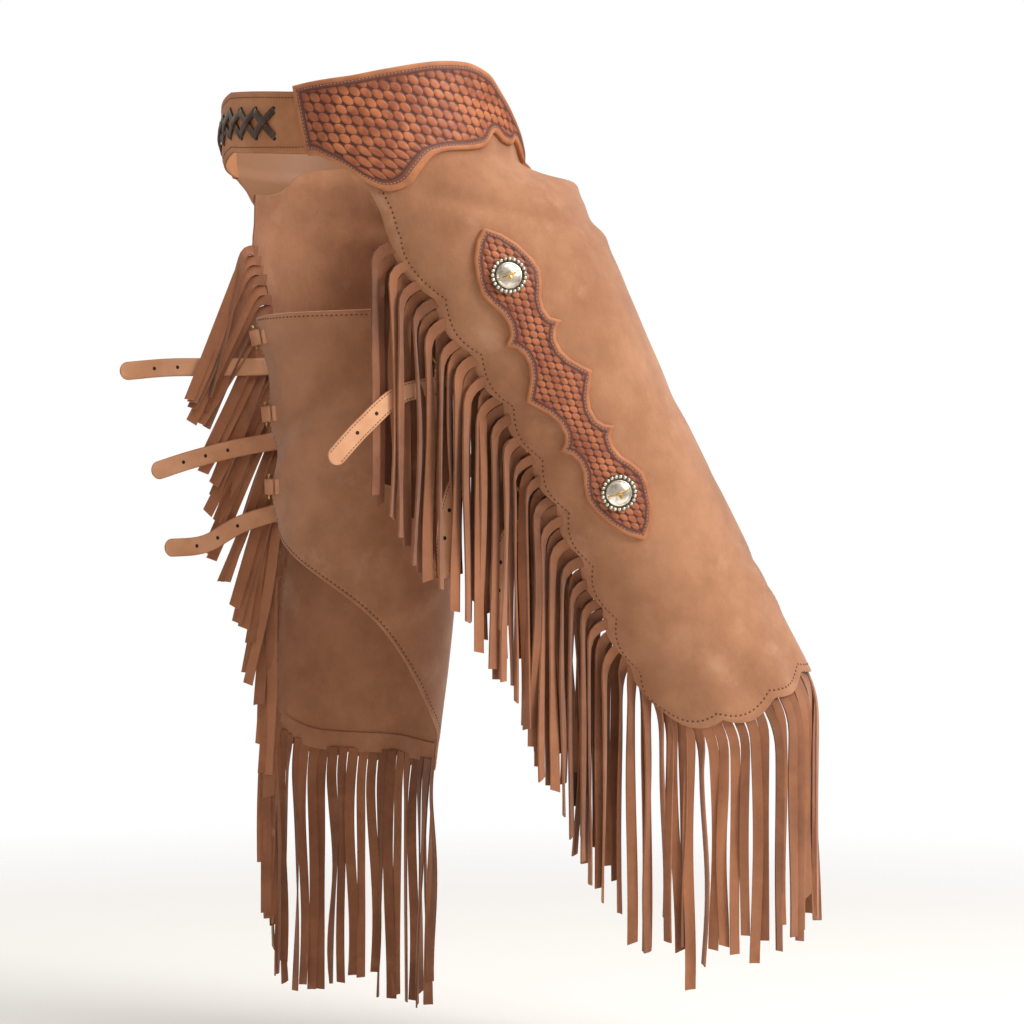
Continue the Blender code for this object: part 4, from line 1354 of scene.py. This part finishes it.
def billet(side, number, down, free):
    """Billet sewn behind the outer edge, hanging free and unbuckled past it."""
    name = f"{SIDE_NAME[side]}_{number}"
    centre, facing = billet_route(side, down, free)
    length, face, across = strap_piece(
        f"strap_{name}", centre, facing, BILLET_WIDTH, True, [f"billet_{name}"]
    )
    outward = np.sign(np.dot(face[len(face) // 2], (side, 0.2, 0))) or 1.0
    runs = []
    for share in (-0.76, 0.76):
        line = centre + across * share * BILLET_WIDTH / 2 + face * outward * STRAP_THICK / 2
        runs.append((line[8:-7], face[8:-7] * outward))
    stitches(
        f"strap_stitches_{name}", runs, STITCH_PITCH, STITCH_LONG, 0.0009, 0.0004,
        "dark thread",
    )
    punched = []
    for back in BILLET_HOLES:
        at = np.interp(length[-1] - back, length, np.arange(len(length)))
        near = np.array([at - 0.2, at, at + 0.2])
        for way in (outward, -outward):
            punched.append((read(centre + face * way * STRAP_THICK / 2, near), read(face * way, near)))
    # Near-black discs on both faces at each hole, painted shade for the dark inside the hole.
    stitches(f"strap_holes_{name}", punched, 0.0018, 0.0040, 0.0040, 0.00025, "hole")


def flap_frame(side, down):
    """Seat of a buckle's bar past the flap's rear edge, with rearward, sideways and outward axes."""
    lift = CHAPE_LIFT + ROUND_BAR
    turn = FLAP_EDGE_TURN + degrees_for(side, down, 0.003)
    seat, outward = map(Vector, on_form(side, down, turn, lift))
    rearward = (Vector(on_form(side, down, turn + 1, lift)[0]) - seat).normalized()
    return seat, rearward, outward.cross(rearward).normalized(), outward


def chape(side, number, down):
    """Short leather loop sewn on the flap and folded round the buckle's bar."""
    seat, rearward, sideways, outward = flap_frame(side, down)
    name = f"{SIDE_NAME[side]}_{number}"
    upper = CHAPE_LIFT + STRAP_THICK + CLEARANCE
    reach = np.linspace(-CHAPE_LONG, -0.004, 12)
    under = on_form(side, down, FLAP_EDGE_TURN + degrees_for(side, down, reach), CHAPE_LIFT)[0]
    angles = np.linspace(-pi / 2, pi / 2, 13)
    bend = [tuple(seat + (rearward * cos(angle) + outward * sin(angle)) * ROUND_BAR) for angle in angles]
    back = np.linspace(-0.010, -CHAPE_LONG * 0.7, 8)
    over = on_form(side, down, FLAP_EDGE_TURN + degrees_for(side, down, back), upper)[0]
    centre = np.concatenate([under, bend, over])
    facing = np.cross(np.gradient(centre, axis=0), np.array(sideways))
    strap_piece(f"loop_{name}", centre, facing, CHAPE_WIDTH, False, [f"chape_{name}"])


def buckle_shape():
    """Brass frame: a plate with clipped corners, inset, opened, extruded and rounded."""
    deselect_all()
    middle = ((BUCKLE_LONG - BUCKLE_WIRE) / 2, 0, -BUCKLE_THICK / 2)
    bpy.ops.mesh.primitive_plane_add(size=1, location=middle)
    item = bpy.context.object
    edit_all(item)
    bpy.ops.transform.resize(value=(BUCKLE_LONG, BUCKLE_WIDE, 1))
    bpy.ops.mesh.bevel(offset=0.0040, segments=5, affect="VERTICES")
    bpy.ops.mesh.select_all(action="SELECT")
    bpy.ops.mesh.inset(thickness=BUCKLE_WIRE)
    bpy.ops.mesh.delete(type="FACE")
    bpy.ops.mesh.select_all(action="SELECT")
    bpy.ops.mesh.extrude_region_move(TRANSFORM_OT_translate={"value": (0, 0, BUCKLE_THICK)})
    close_outward()
    return rounded(item, 0.0011, 3)


def rounded(item, width, segments):
    """Apply a bevel to the sharp edges of a finished shape."""
    choose(item)
    bevel = item.modifiers.new("rounding", "BEVEL")
    bevel.width = width
    bevel.segments = segments
    bevel.limit_method = "ANGLE"
    bevel.angle_limit = SHARP_ANGLE
    bpy.ops.object.modifier_apply(modifier=bevel.name)
    settle_place()
    return item


def tongue_shape():
    """Tapered brass tongue lying on the frame."""
    length = BUCKLE_LONG + 0.001
    middle = (length / 2 - 0.001, 0, BUCKLE_THICK / 2 + CLEARANCE + TONGUE_RADIUS)
    deselect_all()
    bpy.ops.mesh.primitive_cylinder_add(
        vertices=12, radius=TONGUE_RADIUS, depth=length, location=middle, rotation=(0, pi / 2, 0)
    )
    return rounded(bpy.context.object, 0.0004, 2)


# How the round shapes are raised from their rims: inset, then rise.
PLATE_STEPS = ((0.0, 0.0010), (0.0006, 0.0004), (0.0034, 0.0), (0.0007, -0.0004))
DOME_STEPS = (
    (0.0, 0.0012),
    (0.0004, 0.0003),
    (0.0010, 0.0002),
    (0.0005, -0.0003),
    (0.0010, 0.0006),
    (0.0016, 0.0008),
    (0.0022, 0.0008),
    (0.0026, 0.0005),
    (0.0022, 0.0002),
)


def turned_shape(radius, height, steps):
    """Round plate raised ring by ring from its rim to its crown."""
    deselect_all()
    bpy.ops.mesh.primitive_circle_add(vertices=72, radius=radius, fill_type="NGON", location=(0, 0, height))
    item = bpy.context.object
    edit_all(item)
    for inset, rise in steps:
        if inset == 0.0:
            bpy.ops.mesh.extrude_region_move(TRANSFORM_OT_translate={"value": (0, 0, rise)})
        else:
            bpy.ops.mesh.inset(thickness=inset)
            bpy.ops.transform.translate(value=(0, 0, rise))
    close_outward()
    settle_place()
    return item


def ball_shape(segments, rings, radius, place, scale=(1, 1, 1)):
    """Small ball at its place, stretched by its scale, left selected and active."""
    deselect_all()
    bpy.ops.mesh.primitive_uv_sphere_add(segments=segments, ring_count=rings, radius=radius, location=place)
    bpy.context.object.scale = scale
    settle_place()
    return bpy.context.object


def horn_shape():
    """Low relief pair of horns on a small rounded head, swept from a tapering curve."""
    curve = bpy.data.curves.new("horns", "CURVE")
    curve.dimensions = "3D"
    curve.bevel_depth = 0.0014
    curve.bevel_resolution = 3
    curve.use_fill_caps = True
    spline = curve.splines.new("POLY")
    reach = np.linspace(-1, 1, 21)
    spline.points.add(len(reach) - 1)
    for point, x in zip(spline.points, reach):
        rise = 0.0022 * abs(x) ** 3 - 0.0008 * abs(x)
        point.co = (x * 0.0118, rise, 0.0030 + 0.0027 * cos(x * pi / 2) ** 0.8, 1)
        point.radius = 0.30 + 0.60 * cos(x * pi / 2) ** 0.7
    item = linked("horns", curve)
    choose(item)
    bpy.ops.object.convert(target="MESH")
    ball_shape(16, 10, 0.0022, (0, -0.0024, 0.0056), (0.75, 1.9, 0.6))
    item.select_set(True)
    bpy.context.view_layer.objects.active = item
    bpy.ops.object.join()
    return item


def copies(name, shape, places, material, replaced=()):
    """One joined piece from copies of a finished shape, a matrix for each."""
    mesh = shape.data
    points = np.empty(len(mesh.vertices) * 3)
    mesh.vertices.foreach_get("co", points)
    points = np.column_stack([points.reshape(-1, 3), np.ones(len(mesh.vertices))])
    polygons = [list(polygon.vertices) for polygon in mesh.polygons]
    vertices, faces = [], []
    for place in places:
        start = len(vertices) * len(points)
        faces += [[index + start for index in polygon] for polygon in polygons]
        vertices.append(points @ np.array(place).T[:, :3])
    made = bpy.data.meshes.new(name)
    made.from_pydata(np.concatenate(vertices).tolist(), [], faces)
    finish_piece(linked(name, made), material, replaced)


def axes_matrix(seat, x, y, z):
    """Matrix that puts a shape at its seat with these axes."""
    return Matrix.Translation(seat) @ Matrix((x, y, z)).transposed().to_4x4()


def concho_seat(side, which):
    """Place of a concho on the tooled strip, its horns rising a little towards the front."""
    seat, normal = overlay_place(side, CONCHO_ALONG[which], 0.0, TRIM_TOP + 0.0007)
    upward = Vector(normal).normalized()
    slant = Vector((0, -1, HORN_SLOPE))
    across = (slant - upward * upward.dot(slant)).normalized() * -side
    return axes_matrix(Vector(seat), across, upward.cross(across), upward)


def hardware():
    """Conchos on the strips, and buckles with tongues on the flaps."""
    plate = turned_shape(CONCHO_RADIUS, 0, PLATE_STEPS)
    dome = turned_shape(0.0128, 0.0012, DOME_STEPS)
    bead = ball_shape(14, 9, 0.0019, (0.0162, 0, 0.0018))
    horns = horn_shape()
    frame_shape, pin = buckle_shape(), tongue_shape()
    for side in (RIGHT, LEFT):
        for which in CONCHO_ALONG:
            name = f"{SIDE_NAME[side]}_{which}"
            seat = concho_seat(side, which)
            copies(f"concho_plate_{name}", plate, [seat], "tarnish", [f"concho_{name}"])
            copies(f"concho_dome_{name}", dome, [seat], "silver")
            turns = [2 * pi * step / CONCHO_BEADS for step in range(CONCHO_BEADS)]
            ring = [seat @ Matrix.Rotation(turn, 4, "Z") for turn in turns]
            copies(f"concho_beads_{name}", bead, ring, "silver")
            copies(f"concho_horns_{name}", horns, [seat], "gold")
        for number, (down, free) in enumerate(BILLETS[side], start=1):
            name = f"{SIDE_NAME[side]}_{number}"
            billet(side, number, down, free)
            chape(side, number, down - BUCKLE_RISE)
            place = axes_matrix(*flap_frame(side, down - BUCKLE_RISE))
            copies(f"brass_frame_{name}", frame_shape, [place], "brass", [f"buckle_{name}"])
            copies(f"brass_pin_{name}", pin, [place], "brass", [f"tongue_{name}"])
    for shape in (plate, dome, bead, horns, frame_shape, pin):
        bpy.data.objects.remove(shape, do_unlink=True)


# ---------------------------------------------------------------- stage
LIT_MIDDLE = (0.0, -0.15, -0.40)
FLOOR_GAP = 0.05
SURROUND_LIGHT = 0.44
SURROUND_TINT = (1.0, 0.92, 0.84)


def area_light(name, location, size, power, colour=(1, 1, 1)):
    """Square soft light that looks at the middle of the chaps."""
    light = bpy.data.lights.new(name, "AREA")
    light.size = size
    light.energy = power
    light.color = colour
    item = linked(name, light)
    item.location = location
    item.rotation_euler = (Vector(LIT_MIDDLE) - Vector(location)).to_track_quat("-Z", "Y").to_euler()


def stage():
    """Pale floor that fades out, a white surround, soft lights and the camera."""
    deselect_all()
    ground = (0, 0, cad_bounds[0][2] - FLOOR_GAP)
    bpy.ops.mesh.primitive_circle_add(vertices=96, radius=4, fill_type="NGON", location=ground)
    floor = bpy.context.object
    floor.name = "floor"
    pale = Finish("pale floor", (0.9, 0.9, 0.9), Roughness=0.9)
    reach = pale.node("VectorMath", {"operation": "LENGTH"}, pale.place(), output="Value")
    shade = pale.mix(pale.noise(pale.place(), 0.8), (0.88, 0.88, 0.87), (0.92, 0.92, 0.91))
    floor.data.materials.append(pale.feed(Base_Color=shade, Alpha=1 - reach.step(1.0, 2.6)))
    world = bpy.data.worlds.new("surround")
    bpy.context.scene.world = world
    world.use_nodes = True
    tree = world.node_tree
    background = tree.nodes["Background"]
    seen = tree.nodes.new("ShaderNodeLightPath")
    level = tree.nodes.new("ShaderNodeMapRange")
    level.inputs["To Min"].default_value = SURROUND_LIGHT
    level.inputs["To Max"].default_value = 1.0
    tint = tree.nodes.new("ShaderNodeMix")
    tint.data_type = "RGBA"
    tint.inputs[6].default_value = (*SURROUND_TINT, 1)
    tint.inputs[7].default_value = (1.0, 1.0, 1.0, 1)
    tree.links.new(seen.outputs["Is Camera Ray"], level.inputs["Value"])
    tree.links.new(seen.outputs["Is Camera Ray"], tint.inputs[0])
    tree.links.new(tint.outputs[2], background.inputs["Color"])
    tree.links.new(level.outputs["Result"], background.inputs["Strength"])
    area_light("sky", (-1.0, -0.9, 2.8), 3.0, 84)
    area_light("key", (-2.9, -2.0, 1.5), 1.2, 88, (1.0, 0.97, 0.94))
    area_light("back", (2.4, 1.4, 1.6), 2.0, 22)
    camera = linked("camera", bpy.data.cameras.new("camera"))
    camera.data.sensor_width = 36
    camera.data.lens = 105.8
    camera.location = (-2.911, 1.075, -0.402)
    camera.rotation_euler = (pi / 2, 0, radians(247))
    bpy.context.scene.camera = camera
    bpy.context.scene.view_settings.view_transform = "Standard"


# ---------------------------------------------------------------- assembly
belt = back_belt()
back_lace()
front_lace()
for side in (RIGHT, LEFT):
    name = SIDE_NAME[side]
    panel = leg_panel(side)
    panel_stitches(side)
    hip = yoke(side)
    strip = overlay(side)
    side_fringe(side)
    hem_fringe(side)
    trims = [
        piece for piece in bpy.data.objects
        if piece.name.endswith(name) and ("strands" in piece.name or "heading" in piece.name)
    ]
hardware()
stage()
